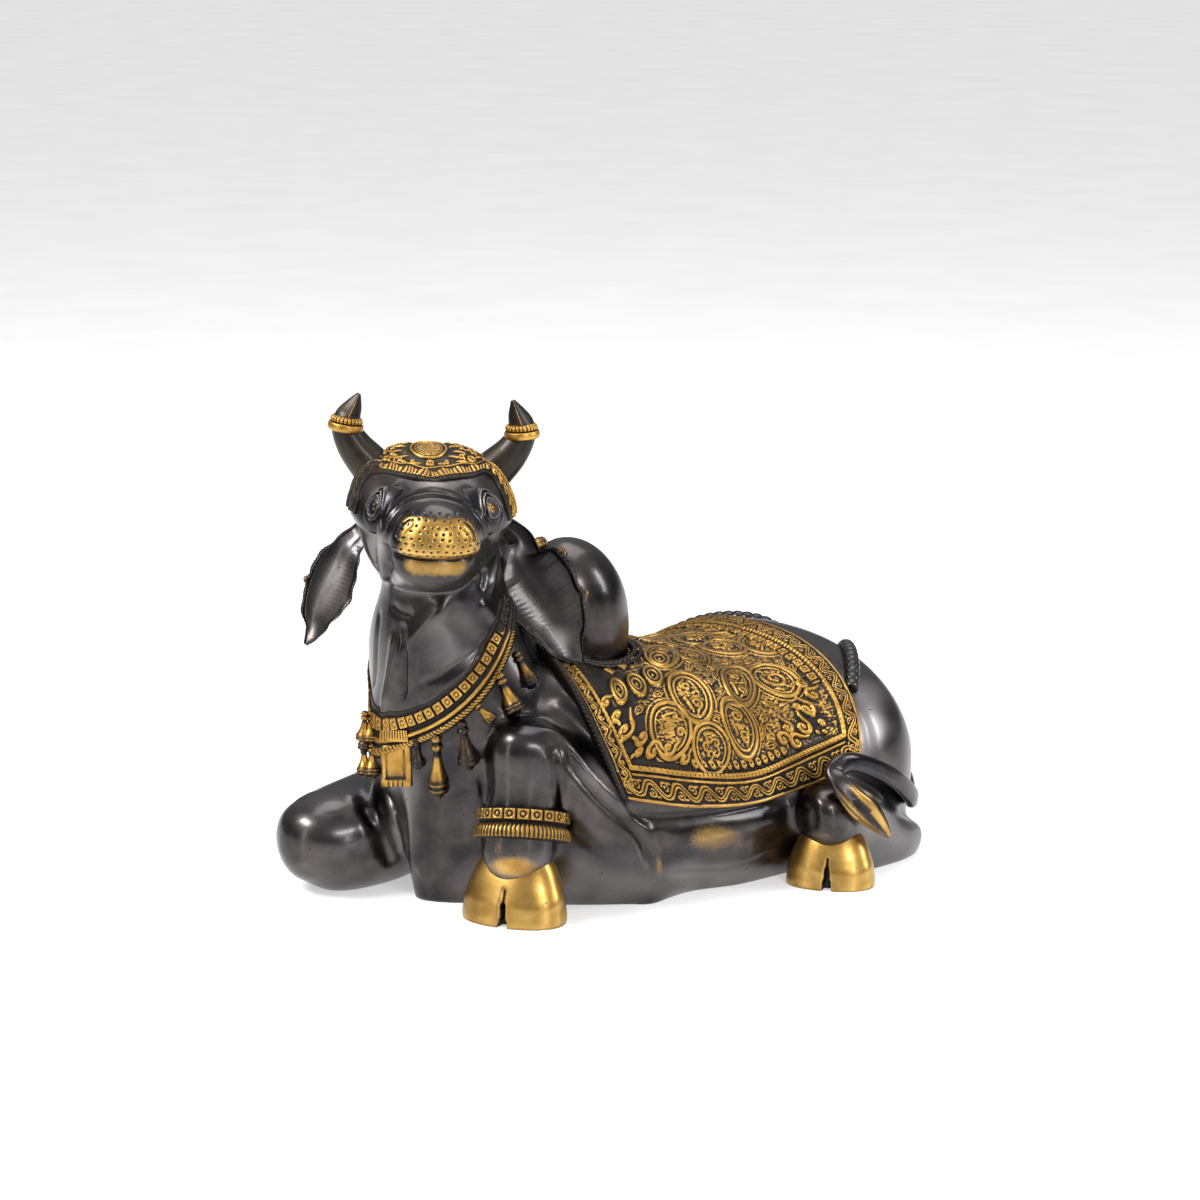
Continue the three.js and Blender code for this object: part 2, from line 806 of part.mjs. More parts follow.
function necklace() {
  const steps = 16;
  const ring = Array.from({ length: steps }, (_, i) =>
    necklacePoint((i / steps) * TURN, 0, necklaceRadius * 0.3),
  );
  const pieces = [closedCord(ring, necklaceRadius)];
  const beads = 11;
  const drop = -necklaceRadius - beadSide * 0.9;
  for (let i = 0; i < beads; i++) {
    const angle = mix(-2.1, 2.1, (i + 0.5) / beads);
    const centre = necklacePoint(angle, drop, 0);
    const out = necklacePoint(angle, drop, beadSide).sub(centre).normalize();
    const profile = [
      [beadSide * 0.7, -beadSide * 0.45],
      [beadSide * 0.6, beadSide * 0.35],
    ];
    pieces.push(turnedOn(centre, out, profile, 4));
  }
  return joined(pieces);
}

function bells() {
  const solids = [];
  const count = 9;
  const drop = necklaceRadius * 1.7;
  for (let i = 0; i < count; i++) {
    const angle = mix(-1.7, 1.7, i / (count - 1));
    const top = necklacePoint(angle, drop, bellRadius * 0.2);
    const low = necklacePoint(angle, drop + bellLength, bellRadius * 0.5);
    const profile = [
      [bellRadius * 0.5, -bellRadius * 0.2],
      [bellRadius, bellLength * 0.75],
      [bellRadius * 0.9, bellLength],
    ];
    solids.push(turnedOn(top, low.sub(top).normalize(), profile, 5));
  }
  return joined(solids);
}

// Anklet on the left foreleg: two lapped rings.
function anklet() {
  const height = 47 * unit;
  const [, x, y, radius] = rowAt(cannonRows, height);
  return turnedOn(
    point(x, y, height),
    point(-0.2, 0.15, 1).normalize(),
    [
      [radius * 0.7, -ankletRadius * 2.4],
      [radius + ankletRadius * 1.1, -ankletRadius * 2],
      [radius + ankletRadius * 0.5, -ankletRadius * 0.4],
      [radius + ankletRadius, ankletRadius * 0.4],
      [radius + ankletRadius * 0.6, ankletRadius * 1.8],
      [radius * 0.7, ankletRadius * 2.2],
    ],
    14,
  );
}

// A ring moulding round the foot of the hump.
function humpRing() {
  const steps = 14;
  const ring = Array.from({ length: steps }, (_, i) => {
    const angle = (i / steps) * TURN;
    const x = (humpRadius + ringRadius) * Math.cos(angle);
    const y = humpCentre.y + (humpRadius + ringRadius * 2) * Math.sin(angle);
    const [, half, , waist, top] = rowAt(torsoRows, y);
    const share = (1 - Math.abs(x / half) ** torsoFullness) ** (1 / torsoFullness);
    return point(x, y, waist + (top - waist + blanketThickness) * share);
  });
  return closedCord(ring, ringRadius);
}

// The crupper rope from the blanket's rear edge round the tail's root.
function crupper() {
  const steps = 5;
  const half = (side) =>
    Array.from({ length: steps + 1 }, (_, i) => {
      const t = i / steps;
      const y = mix(blanketRear + 3 * unit, 160 * unit, t);
      return torsoPoint(y, Math.PI / 2 - side * mix(0.75, 0.05, t), crupperRadius * 0.4);
    });
  return cord(half(1), crupperRadius).add(cord(half(-1), crupperRadius));
}

// Everything above the floor plane.
function onFloor(solid) {
  const size = bullLength * 4;
  const box = new THREE.BoxGeometry(size, size, size).translate(0, 0, size / 2);
  box.deleteAttribute("normal");
  box.deleteAttribute("uv");
  const merged = mergeVertices(box);
  const above = new wasm.Manifold(
    new wasm.Mesh({
      numProp: 3,
      vertProperties: merged.attributes.position.array,
      triVerts: new Uint32Array(merged.index.array),
    }),
  );
  return solid.intersect(above);
}

const bull = onFloor(
  joined([
    torso(),
    neck(),
    crest(),
    hump(),
    head(),
    muzzle(),
    horn(1),
    horn(-1),
    ear(1),
    ear(-1),
    cap(),
    eye(1),
    eye(-1),
    leftForeleg(),
    rightForeleg(),
    hindLeg(1),
    hindLeg(-1),
    tail(),
    blanket(),
    medallions(),
    necklace(),
    bells(),
    anklet(),
    humpRing(),
    crupper(),
  ]),
);

// Small pockets where forms overlap inside the casting are filled.
const filled = joined(bull.decompose().filter((body) => body.volume() > 0));
const mesh = filled.getMesh();
const geometry = new THREE.BufferGeometry();
geometry.setAttribute("position", new THREE.BufferAttribute(mesh.vertProperties, 3));
geometry.setIndex(new THREE.BufferAttribute(mesh.triVerts, 1));
const bronze = new THREE.MeshStandardMaterial({ color: 0x2c2826, roughness: 0.3, metalness: 0.9 });
const figure = new THREE.Mesh(geometry, bronze);
figure.name = "nandi_bull";
geometry.computeBoundingBox();
const middle = geometry.boundingBox.getCenter(point(0, 0, 0));
figure.position.set(-middle.x, -middle.y, 0);

const group = new THREE.Group();
group.add(figure);

export default group;
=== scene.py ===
import math

import bmesh
import bpy
import numpy as np
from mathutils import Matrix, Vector
from mathutils.bvhtree import BVHTree


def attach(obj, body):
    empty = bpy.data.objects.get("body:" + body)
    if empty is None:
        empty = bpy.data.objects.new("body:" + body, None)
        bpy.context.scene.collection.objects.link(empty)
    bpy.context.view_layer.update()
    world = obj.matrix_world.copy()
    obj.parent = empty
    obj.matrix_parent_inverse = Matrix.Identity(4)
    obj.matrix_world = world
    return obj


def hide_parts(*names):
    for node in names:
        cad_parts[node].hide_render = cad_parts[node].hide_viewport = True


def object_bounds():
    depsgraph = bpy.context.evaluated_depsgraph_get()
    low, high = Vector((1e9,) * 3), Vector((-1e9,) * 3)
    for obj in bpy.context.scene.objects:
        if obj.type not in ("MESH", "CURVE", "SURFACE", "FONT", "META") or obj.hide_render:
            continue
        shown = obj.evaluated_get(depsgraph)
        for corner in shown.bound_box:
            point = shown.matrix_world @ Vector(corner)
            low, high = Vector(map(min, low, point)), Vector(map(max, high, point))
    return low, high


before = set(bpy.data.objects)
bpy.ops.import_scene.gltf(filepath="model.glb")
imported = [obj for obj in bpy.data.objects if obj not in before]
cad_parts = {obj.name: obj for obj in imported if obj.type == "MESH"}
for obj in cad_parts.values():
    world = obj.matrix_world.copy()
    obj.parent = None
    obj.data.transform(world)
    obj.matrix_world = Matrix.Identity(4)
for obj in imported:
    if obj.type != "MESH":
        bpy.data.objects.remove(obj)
cadBox = [list(corner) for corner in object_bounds()]

# Shapes are worked out in millimetres with the bull facing -Y. The shift takes them to the
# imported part, which is centred on the origin.
lowCorner = np.array([-121.4, -158.9, 0.0])
shift = np.array(cadBox[0]) * 1000 - lowCorner
turn = math.pi * 2
bodyLeft = np.array([1.0, 0.0, 0.0])
worldUp = np.array([0.0, 0.0, 1.0])


# Numbers

def mix(a, b, t):
    return a + (b - a) * t


def shaped(value, power):
    return np.sign(value) * np.abs(value) ** power


def ease(value, low, high):
    t = np.clip((value - low) / (high - low), 0, 1)
    return t * t * (3 - 2 * t)


# A bump that fades out on both sides of 0.
def bump(x):
    return np.exp(-x ** 2)


# Round ridges side by side, one for each pi.
def ridges(x):
    return np.sqrt(np.abs(np.sin(x)))


# A half round from -1 to 1.
def domed(x):
    return np.sqrt(np.clip(1 - x ** 2, 0, 1))


def unit(vectors):
    return vectors / np.maximum(np.linalg.norm(vectors, axis=-1, keepdims=True), 1e-9)


# The rows at values of the rows' first column, on a smooth curve through them.
def rowAt(rows, value):
    rows = np.asarray(rows, float)
    x = np.clip(np.atleast_1d(np.asarray(value, float)), rows[0, 0], rows[-1, 0])
    k = np.clip(np.searchsorted(rows[:, 0], x, side="right") - 1, 0, len(rows) - 2)
    a, b = rows[k], rows[k + 1]
    before, after = rows[np.maximum(k - 1, 0)], rows[np.minimum(k + 2, len(rows) - 1)]
    width = b[:, :1] - a[:, :1]
    t = (x[:, None] - a[:, :1]) / width
    leaving = (b - before) / (b[:, :1] - before[:, :1]) * width
    arriving = (after - a) / (after[:, :1] - a[:, :1]) * width
    bend = (1 - t) * leaving * t * (1 - t) - t * arriving * t * (1 - t)
    return a * (1 + 2 * t) * (1 - t) ** 2 + b * t * t * (3 - 2 * t) + bend


# Evenly spaced rows on a smooth curve through the rows.
def through(rows, count):
    rows = np.asarray(rows, float)
    counted = np.column_stack([np.arange(len(rows)), rows])
    return rowAt(counted, np.linspace(0, len(rows) - 1, count))[:, 1:]


# How far along the line each of its points is.
def runAlong(points):
    return np.concatenate([[0], np.cumsum(np.linalg.norm(np.diff(points, axis=0), axis=1))])


# The same curve with points an even distance apart.
def evenly(points, count):
    run = runAlong(points)
    at = np.linspace(0, run[-1], count)
    return np.column_stack([np.interp(at, run, points[:, k]) for k in range(points.shape[1])])


# How far each point is from a line of points, and how far along the line that is.
def nearLine(points, line):
    best = np.full(len(points), 1e9)
    along = np.zeros(len(points))
    run = 0.0
    for a, b in zip(line[:-1], line[1:]):
        step = b - a
        length = max(np.linalg.norm(step), 1e-9)
        t = np.clip((points - a) @ step / length ** 2, 0, 1)
        d = np.linalg.norm(points - a - t[:, None] * step, axis=1)
        closer = d < best
        best = np.where(closer, d, best)
        along = np.where(closer, run + t * length, along)
        run += length
    return best, along


# Meshes

def readVectors(parts, name):
    flat = np.empty(len(parts) * 3, np.float32)
    parts.foreach_get(name, flat)
    return flat.reshape(-1, 3).astype(float)


def readPoints(mesh):
    return readVectors(mesh.vertices, "co")


def readNormals(mesh):
    return readVectors(mesh.vertex_normals, "vector")


def edgeEnds(mesh):
    ends = np.empty(len(mesh.edges) * 2, np.int32)
    mesh.edges.foreach_get("vertices", ends)
    return ends.reshape(-1, 2).T


def writePoints(mesh, points):
    mesh.vertices.foreach_set("co", np.asarray(points, np.float32).ravel())
    mesh.update()


def setMark(mesh, name, values):
    mark = mesh.attributes.get(name) or mesh.attributes.new(name, "FLOAT", "POINT")
    mark.data.foreach_set("value", np.asarray(values, np.float32))


# A grid whose points are placed by their two shares, each from 0 to 1. The function gives the
# points and may give marks, which are values for the materials.
def gridMesh(across, along, place):
    shape = bmesh.new()
    bmesh.ops.create_grid(shape, x_segments=across, y_segments=along, size=1)
    mesh = bpy.data.meshes.new("grid")
    shape.to_mesh(mesh)
    shape.free()
    flat = readPoints(mesh)
    placed = place((flat[:, 0] + 1) / 2, (flat[:, 1] + 1) / 2)
    points, marks = placed if isinstance(placed, tuple) else (placed, {})
    writePoints(mesh, points)
    for name, values in marks.items():
        setMark(mesh, name, values)
    return mesh


# The closed skin from ring to ring. Each end is drawn to its middle.
def loftMesh(rings, marks=None):
    middle = [rings[:1].mean(1, keepdims=True), rings[-1:].mean(1, keepdims=True)]
    ends = [np.repeat(point, rings.shape[1], 1) for point in middle]
    full = np.concatenate([ends[0], rings, ends[1]])
    rows, sides = full.shape[:2]

    def place(u, v):
        row = np.rint(v * (rows - 1)).astype(int)
        column = np.rint(u * sides).astype(int) % sides
        shown = {}
        for name, values in (marks or {}).items():
            padded = np.concatenate([values[:1], values, values[-1:]])
            shown[name] = padded[row, column]
        return full[row, column], shown

    return weld(gridMesh(sides, rows - 1, place))


def weld(mesh):
    distance = 1e-3
    shape = bmesh.new()
    shape.from_mesh(mesh)
    bmesh.ops.remove_doubles(shape, verts=shape.verts, dist=distance)
    bmesh.ops.dissolve_degenerate(shape, edges=shape.edges, dist=distance)
    bmesh.ops.recalc_face_normals(shape, faces=shape.faces)
    shape.to_mesh(mesh)
    shape.free()
    return mesh


def joinMeshes(meshes):
    names = {a.name for m in meshes for a in m.attributes if a.name in ("rub", "dip", "pale")}
    shape = bmesh.new()
    for name in names:
        shape.verts.layers.float.new(name)
    for mesh in meshes:
        for name in names:
            if not mesh.attributes.get(name):
                setMark(mesh, name, np.zeros(len(mesh.vertices)))
        shape.from_mesh(mesh)
    whole = bpy.data.meshes.new("joined")
    shape.to_mesh(whole)
    shape.free()
    for mesh in meshes:
        bpy.data.meshes.remove(mesh)
    return whole


def treeOf(mesh):
    shape = bmesh.new()
    shape.from_mesh(mesh)
    tree = BVHTree.FromBMesh(shape)
    shape.free()
    return tree


# One closed skin round all the meshes, without the pockets inside it.
def fuse(meshes, voxel):
    whole = weld(joinMeshes(meshes))
    thing = bpy.data.objects.new("fusing", whole)
    bpy.context.collection.objects.link(thing)
    remesh = thing.modifiers.new("fuse", "REMESH")
    remesh.mode = "VOXEL"
    remesh.voxel_size = voxel
    graph = bpy.context.evaluated_depsgraph_get()
    fused = bpy.data.meshes.new_from_object(thing.evaluated_get(graph))
    bpy.data.objects.remove(thing)
    bpy.data.meshes.remove(whole)
    a, b = edgeEnds(fused)
    label = np.arange(len(fused.vertices))
    while True:
        low = np.minimum(label[a], label[b])
        lower = label.copy()
        np.minimum.at(lower, a, low)
        np.minimum.at(lower, b, low)
        lower = lower[lower]
        if (lower == label).all():
            break
        label = lower
    keep = label == np.bincount(label).argmax()
    if not keep.all():
        shape = bmesh.new()
        shape.from_mesh(fused)
        shape.verts.ensure_lookup_table()
        loose = [shape.verts[k] for k in np.flatnonzero(~keep)]
        bmesh.ops.delete(shape, geom=loose, context="VERTS")
        shape.to_mesh(fused)
        shape.free()
    return fused


# Draws each point towards its neighbours, more where the weight is more.
def relax(mesh, rounds, weight=0.5):
    points = readPoints(mesh)
    a, b = edgeEnds(mesh)
    count = np.bincount(a, minlength=len(points)) + np.bincount(b, minlength=len(points))
    count = np.maximum(count, 1)
    share = np.broadcast_to(np.asarray(weight, float), (len(points),))
    for _ in range(rounds):
        for k in range(3):
            total = np.bincount(a, points[b, k], len(points))
            total += np.bincount(b, points[a, k], len(points))
            points[:, k] += share * (total / count - points[:, k])
    writePoints(mesh, points)


# Cuts a mesh by a plane and keeps the side that the normal points to.
def cutAway(mesh, origin, normal, closed=False):
    shape = bmesh.new()
    shape.from_mesh(mesh)
    parts = shape.verts[:] + shape.edges[:] + shape.faces[:]
    bmesh.ops.bisect_plane(
        shape, geom=parts, dist=1e-4, plane_co=origin, plane_no=normal, clear_inner=True
    )
    if closed:
        rim = [edge for edge in shape.edges if edge.is_boundary]
        bmesh.ops.holes_fill(shape, edges=rim, sides=0)
    bmesh.ops.recalc_face_normals(shape, faces=shape.faces)
    shape.to_mesh(mesh)
    shape.free()


# Turns a mesh in millimetres into a piece of the scene.
def addPiece(name, mesh, material):
    writePoints(mesh, (readPoints(mesh) + shift) / 1000)
    mesh.name = name
    mesh.shade_smooth()
    mesh.materials.clear()
    mesh.materials.append(material)
    piece = bpy.data.objects.new(name, mesh)
    bpy.context.collection.objects.link(piece)
    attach(piece, "root")
    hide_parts("nandi_bull")
    print(name, "has", len(mesh.polygons), "faces")
    return piece


# Camera. Pixels are those of the 1200 by 1200 photo.
view = {
    "pixels": 1200,
    "focal": 3403.0,
    "eye": np.array([1319.0, -990.8, 515.5]),
    "azimuth": math.radians(53),
    "elevation": math.radians(13),
}


def viewAxes():
    a, e = view["azimuth"], view["elevation"]
    back = np.array([math.sin(a) * math.cos(e), -math.cos(a) * math.cos(e), math.sin(e)])
    right = np.array([math.cos(a), math.sin(a), 0.0])
    return right, np.cross(back, right), back


def pixelsOf(points):
    right, up, back = viewAxes()
    gap = points - view["eye"]
    depth = -(gap @ back)
    middle = view["pixels"] / 2
    scale = view["focal"] / depth
    return np.column_stack([middle + gap @ right * scale, middle - gap @ up * scale])


# Where the photo's pixel falls on a mesh, and the skin's direction there.
def underPixel(tree, x, y):
    right, up, back = viewAxes()
    middle = view["pixels"] / 2
    ray = right * (x - middle) + up * (middle - y) - back * view["focal"]
    place, normal, _, _ = tree.ray_cast(Vector(view["eye"]), Vector(unit(ray)))
    if place is None:
        return None
    return np.array(place), np.array(normal)


camera = bpy.data.cameras.new("camera")
camera.sensor_width = 36
camera.lens = 36 * view["focal"] / view["pixels"]
camera.clip_start, camera.clip_end = 0.05, 60
cameraThing = bpy.data.objects.new("camera", camera)
bpy.context.collection.objects.link(cameraThing)
cameraThing.location = (view["eye"] + shift) / 1000
cameraThing.rotation_mode = "QUATERNION"
cameraThing.rotation_quaternion = Vector(viewAxes()[2]).to_track_quat("Z", "Y")
bpy.context.scene.camera = cameraThing
print("camera is set")


# Materials

def addNode(tree, kind, inputs=None, **settings):
    node = tree.nodes.new("ShaderNode" + kind)
    for key, value in settings.items():
        setattr(node, key, value)
    for key, value in (inputs or {}).items():
        if isinstance(value, bpy.types.NodeSocket):
            tree.links.new(value, node.inputs[key])
        else:
            node.inputs[key].default_value = value
    return node


def newGroup(name, inputs, outputs):
    group = bpy.data.node_groups.new(name, "ShaderNodeTree")
    for label, kind in inputs:
        group.interface.new_socket(name=label, in_out="INPUT", socket_type=kind)
    for label, kind in outputs:
        group.interface.new_socket(name=label, in_out="OUTPUT", socket_type=kind)
    return group, group.nodes.new("NodeGroupInput").outputs, group.nodes.new("NodeGroupOutput")


def mathNode(tree, operation, *values, clamp=False):
    inputs = dict(enumerate(values))
    node = addNode(tree, "Math", inputs, operation=operation, use_clamp=clamp)
    return node.outputs[0]


def mapped(tree, value, low, high, to=(0.0, 1.0)):
    inputs = {0: value, 1: low, 2: high, 3: to[0], 4: to[1]}
    return addNode(tree, "MapRange", inputs, interpolation_type="SMOOTHSTEP").outputs[0]


def noiseOf(tree, vector, scale, detail=3.0, roughness=0.55, distortion=0.0):
    inputs = {
        "Vector": vector, "Scale": scale, "Detail": detail, "Roughness": roughness,
        "Distortion": distortion,
    }
    return addNode(tree, "TexNoise", inputs).outputs["Fac"]


def mixedColor(tree, factor, a, b):
    inputs = {0: factor, 6: a, 7: b}
    return addNode(tree, "Mix", inputs, data_type="RGBA").outputs[2]


# The grain of the cast metal: broad clouds, fine grain, brushed streaks and small pits.
def grainGroup():
    group, given, out = newGroup(
        "castGrain",
        [("Vector", "NodeSocketVector")],
        [(name, "NodeSocketFloat") for name in ("Clouds", "Grain", "Streaks", "Pits")],
    )
    vector = given["Vector"]
    clouds = noiseOf(group, vector, 45.0, 4.0, 0.6, 0.4)
    grain = noiseOf(group, vector, 900.0, 3.0, 0.6)
    stretch = addNode(
        group, "Mapping", {"Vector": vector, "Scale": (40.0, 900.0, 160.0)}
    ).outputs[0]
    streaks = noiseOf(group, stretch, 1.0, 2.0, 0.5, 0.3)
    cells = addNode(group, "TexVoronoi", {"Vector": vector, "Scale": 260.0})
    dots = mapped(group, cells.outputs["Distance"], 0.09, 0.16, (1.0, 0.0))
    rare = mapped(group, noiseOf(group, vector, 90.0, 1.0), 0.58, 0.64)
    pits = mathNode(group, "MULTIPLY", dots, rare)
    for name, value in zip(("Clouds", "Grain", "Streaks", "Pits"), (clouds, grain, streaks, pits)):
        group.links.new(value, out.inputs[name])
    return group


# How far the patina is rubbed off to the brass, from the piece's own mark and the grain.
def wearGroup():
    group, given, out = newGroup(
        "rubbedBrass",
        [(name, "NodeSocketFloat") for name in ("Rub", "Dip", "Clouds", "Grain")],
        [("Mask", "NodeSocketFloat")],
    )
    cloudy = mathNode(group, "MULTIPLY_ADD", given["Clouds"], 0.5, -0.25)
    grainy = mathNode(group, "MULTIPLY_ADD", given["Grain"], 0.35, -0.175)
    broken = mathNode(group, "ADD", cloudy, grainy)
    shown = mathNode(group, "ADD", given["Rub"], broken)
    held = mathNode(group, "MULTIPLY_ADD", given["Dip"], -0.7, shown)
    edge = mapped(group, held, 0.25, 0.75)
    gate = mapped(group, given["Rub"], 0.0, 0.15)
    group.links.new(mathNode(group, "MULTIPLY", edge, gate), out.inputs["Mask"])
    return group


castGrain = grainGroup()
rubbedBrass = wearGroup()


# Bronze whose patina, rubbed brass, painted sheen (a lighter grey for highlights and the floor's
# reflection) and darkening (grime in hollows, and painted shade in carved creases and under the
# lip) follow the piece's marks.
def bronze(name, look):
    material = bpy.data.materials.new(name)
    material.use_nodes = True
    tree = material.node_tree
    tree.nodes.clear()
    place = addNode(tree, "TexCoord").outputs["Object"]
    grain = addNode(tree, "Group", node_tree=castGrain)
    tree.links.new(place, grain.inputs["Vector"])
    marks = {
        mark: addNode(tree, "Attribute", attribute_name=mark).outputs["Fac"]
        for mark in ("rub", "dip", "pale")
    }
    wear = addNode(tree, "Group", node_tree=rubbedBrass)
    for socket, value in (
        ("Rub", marks["rub"]), ("Dip", marks["dip"]),
        ("Clouds", grain.outputs["Clouds"]), ("Grain", grain.outputs["Grain"]),
    ):
        tree.links.new(value, wear.inputs[socket])
    mask = wear.outputs["Mask"]
    clouds, fine = grain.outputs["Clouds"], grain.outputs["Grain"]
    dark = mixedColor(tree, mapped(tree, clouds, 0.3, 0.7), look["dark"], look["brown"])
    # Painted sheen: the patina is drawn toward a light grey where the mark asks, standing in for
    # highlights and the floor's reflection.
    patinaWithSheen = mixedColor(tree, marks["pale"], dark, look["pale"])
    brass = mixedColor(tree, mapped(tree, clouds, 0.28, 0.66), look["brass"], look["tarnish"])
    bare = mixedColor(tree, mask, patinaWithSheen, brass)
    # Darkening toward near-black: grime in hollows, and painted shade where the skin is carved in
    # and under the lip.
    grimedAndShaded = mathNode(tree, "MULTIPLY", marks["dip"], look["grimeAndShade"])
    pits = mathNode(tree, "MULTIPLY", grain.outputs["Pits"], 0.8)
    pitsGrimeAndShade = mathNode(tree, "MAXIMUM", grimedAndShaded, pits)
    color = mixedColor(tree, pitsGrimeAndShade, bare, look["sootAndShade"])
    smooth = mixedValue(tree, mask, look["patinaRough"], look["brassRough"])
    sheenRoughened = mathNode(tree, "MULTIPLY_ADD", marks["pale"], look["paleRough"], smooth)
    cloudy = mathNode(tree, "MULTIPLY_ADD", clouds, look["cloudRough"], sheenRoughened)
    rough = mathNode(tree, "MULTIPLY_ADD", pitsGrimeAndShade, 0.3, cloudy, clamp=True)
    height = mathNode(tree, "MULTIPLY_ADD", grain.outputs["Streaks"], 0.5, fine)
    height = mathNode(tree, "MULTIPLY_ADD", grain.outputs["Pits"], -2.0, height)
    bumps = addNode(
        tree, "Bump",
        {"Height": height, "Strength": look["bump"], "Distance": 0.0001},
    )
    shader = addNode(
        tree, "BsdfPrincipled",
        {
            "Base Color": color, "Roughness": rough, "Metallic": look["metal"],
            "Normal": bumps.outputs[0], "Coat Weight": look["coat"], "Coat Roughness": 0.12,
        },
    )
    end = addNode(tree, "OutputMaterial")
    tree.links.new(shader.outputs[0], end.inputs["Surface"])
    return material


def mixedValue(tree, factor, a, b):
    return addNode(tree, "Mix", {0: factor, 2: a, 3: b}, data_type="FLOAT").outputs[0]


# The light grey is painted sheen for highlights and the floor's reflection; the near-black is grime
# and painted shade.
skinLook = {
    "dark": (0.015, 0.0145, 0.017, 1), "brown": (0.056, 0.048, 0.046, 1),
    "pale": (0.27, 0.25, 0.25, 1), "brass": (0.56, 0.35, 0.09, 1),
    "tarnish": (0.3, 0.165, 0.035, 1), "sootAndShade": (0.012, 0.011, 0.01, 1),
    "patinaRough": 0.19, "brassRough": 0.3, "paleRough": 0.16, "cloudRough": 0.2,
    "metal": 1.0, "coat": 0.25, "bump": 0.25, "grimeAndShade": 0.6,
}
carvedLook = dict(
    skinLook, dark=(0.022, 0.02, 0.019, 1), brown=(0.042, 0.034, 0.026, 1),
    brass=(0.55, 0.32, 0.07, 1), tarnish=(0.3, 0.16, 0.03, 1),
    patinaRough=0.34, brassRough=0.3, bump=0.5, grimeAndShade=0.85, coat=0.1,
)
skinBronze = bronze("patinatedBronze", skinLook)
carvedBronze = bronze("carvedBrass", carvedLook)
hoofBronze = bronze("hoofBrass", dict(skinLook, brassRough=0.26, bump=0.35, grimeAndShade=0.9))
print("materials are set")


# Shapes of the bull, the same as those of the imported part

torsoRows = [
    (-108, 8, 1, 60, 100), (-98, 24, 5, 60, 116), (-80, 46, 20, 58, 126), (-60, 65, 38, 56, 126),
    (-42, 78, 52, 54, 119), (-20, 85, 66, 52, 110), (6, 88, 60, 50, 108), (30, 88, 69, 48, 107),
    (52, 88, 69, 48, 100), (74, 90, 66, 47, 100), (95, 93, 62, 47, 102), (118, 92, 60, 47, 105.5),
    (138, 83, 57, 46, 98), (151, 69, 47, 44, 78), (160, 52, 32, 42, 62), (167, 31, 15, 40, 52),
    (170, 12, 5, 38, 44),
]
torsoFullness = 2.25


def torsoPoint(y, angle, lift=0.0):
    half, foot, waist, top = rowAt(torsoRows, y).T[1:]
    across = shaped(np.cos(angle), 2 / torsoFullness)
    rise = shaped(np.sin(angle), 2 / torsoFullness)
    drop = np.clip(-rise, 0, 1)
    width = foot + (half - foot) * np.sqrt(1 - drop * drop)
    upper = np.stack([(half + lift) * across, y, waist + (top - waist + lift) * rise], 1)
    lower = np.stack([np.sign(across) * (width + lift), y, waist - (waist + 4) * drop], 1)
    return np.where((rise >= 0)[:, None], upper, lower)


neckRows = [
    (-4, 0, -70, 26, 37, 30), (30, 0, -71, 36, 42, 34), (62, 0, -74, 44, 45, 40),
    (90, 0, -78, 48, 45, 44), (108, 0, -83, 46, 44, 46), (125, 0, -87, 41, 43, 44),
    (140, 1, -91, 35, 40, 40), (155, 3, -93, 30, 37, 36), (170, 4, -95, 28, 30, 32),
    (186, 3, -97, 25, 22, 26),
]
headTurn = math.radians(58.5)
keelFullness = 1.65


def neckPoint(height, angle):
    x, y, half, front, back = rowAt(neckRows, height).T[1:]
    way = headTurn * ease(height, 70, 165)
    ahead = np.cos(angle)
    power = np.where(ahead > 0, 2 / keelFullness, 1.0)
    reach = shaped(ahead, power) * np.where(ahead > 0, front, back)
    side = shaped(np.sin(angle), power) * half
    return np.stack([
        x + reach * np.sin(way) + side * np.cos(way),
        y - reach * np.cos(way) + side * np.sin(way),
        height + 0 * x,
    ], 1)


headCentre = np.array([0.0, -98.0, 190.0])
headRoll = math.radians(-3.5)
forward = np.array([math.sin(headTurn), -math.cos(headTurn), 0.0])
levelLeft = np.array([math.cos(headTurn), math.sin(headTurn), 0.0])
headLeft = levelLeft * math.cos(headRoll) + np.cross(forward, levelLeft) * math.sin(headRoll)
headUp = worldUp * math.cos(headRoll) + np.cross(forward, worldUp) * math.sin(headRoll)


def onHead(ahead, left, up):
    ahead, left, up = (np.asarray(value, float)[..., None] for value in (ahead, left, up))
    return headCentre + forward * ahead + headLeft * left + headUp * up


headRows = [
    (-32, 14, 2, 14, -12), (-26, 27, 2, 25, -22), (-12, 36.5, 2, 32, -30), (2, 39.5, 2, 31, -33),
    (10, 38.5, 1, 28.3, -33), (16, 36.8, 0, 25.2, -33), (21, 34.3, -1, 22.8, -32.6),
    (25, 31.4, -2, 20.8, -32), (28, 28.6, -3, 19, -31.4), (31, 26, -4, 17.4, -30.6),
    (36, 24, -5, 15.4, -29), (42, 22, -5, 13, -27), (49, 18, -4, 10, -24),
]
jawNarrowing, crownRoundness, jawRoundness = 0.26, 0.85, 0.55


def headPoint(ahead, angle, lift=0.0):
    half, waist, top, bottom = rowAt(headRows, ahead).T[1:]
    power = np.where(np.sin(angle) > 0, crownRoundness, jawRoundness)
    rise = shaped(np.sin(angle), power)
    reach = np.where(rise > 0, top - waist + lift, waist - bottom + lift)
    width = (half + lift) * (1 - jawNarrowing * np.sqrt(np.maximum(-rise, 0)))
    return onHead(ahead, width * shaped(np.cos(angle), power), waist + reach * rise)


# Rings of a skin from a function of a height or distance and an angle.
def ringsOf(place, low, high, rings, sides):
    at, angle = np.meshgrid(np.linspace(low, high, rings), np.arange(sides) / sides * turn,
                            indexing="ij")
    return place(at.ravel(), angle.ravel()).reshape(rings, sides, 3)


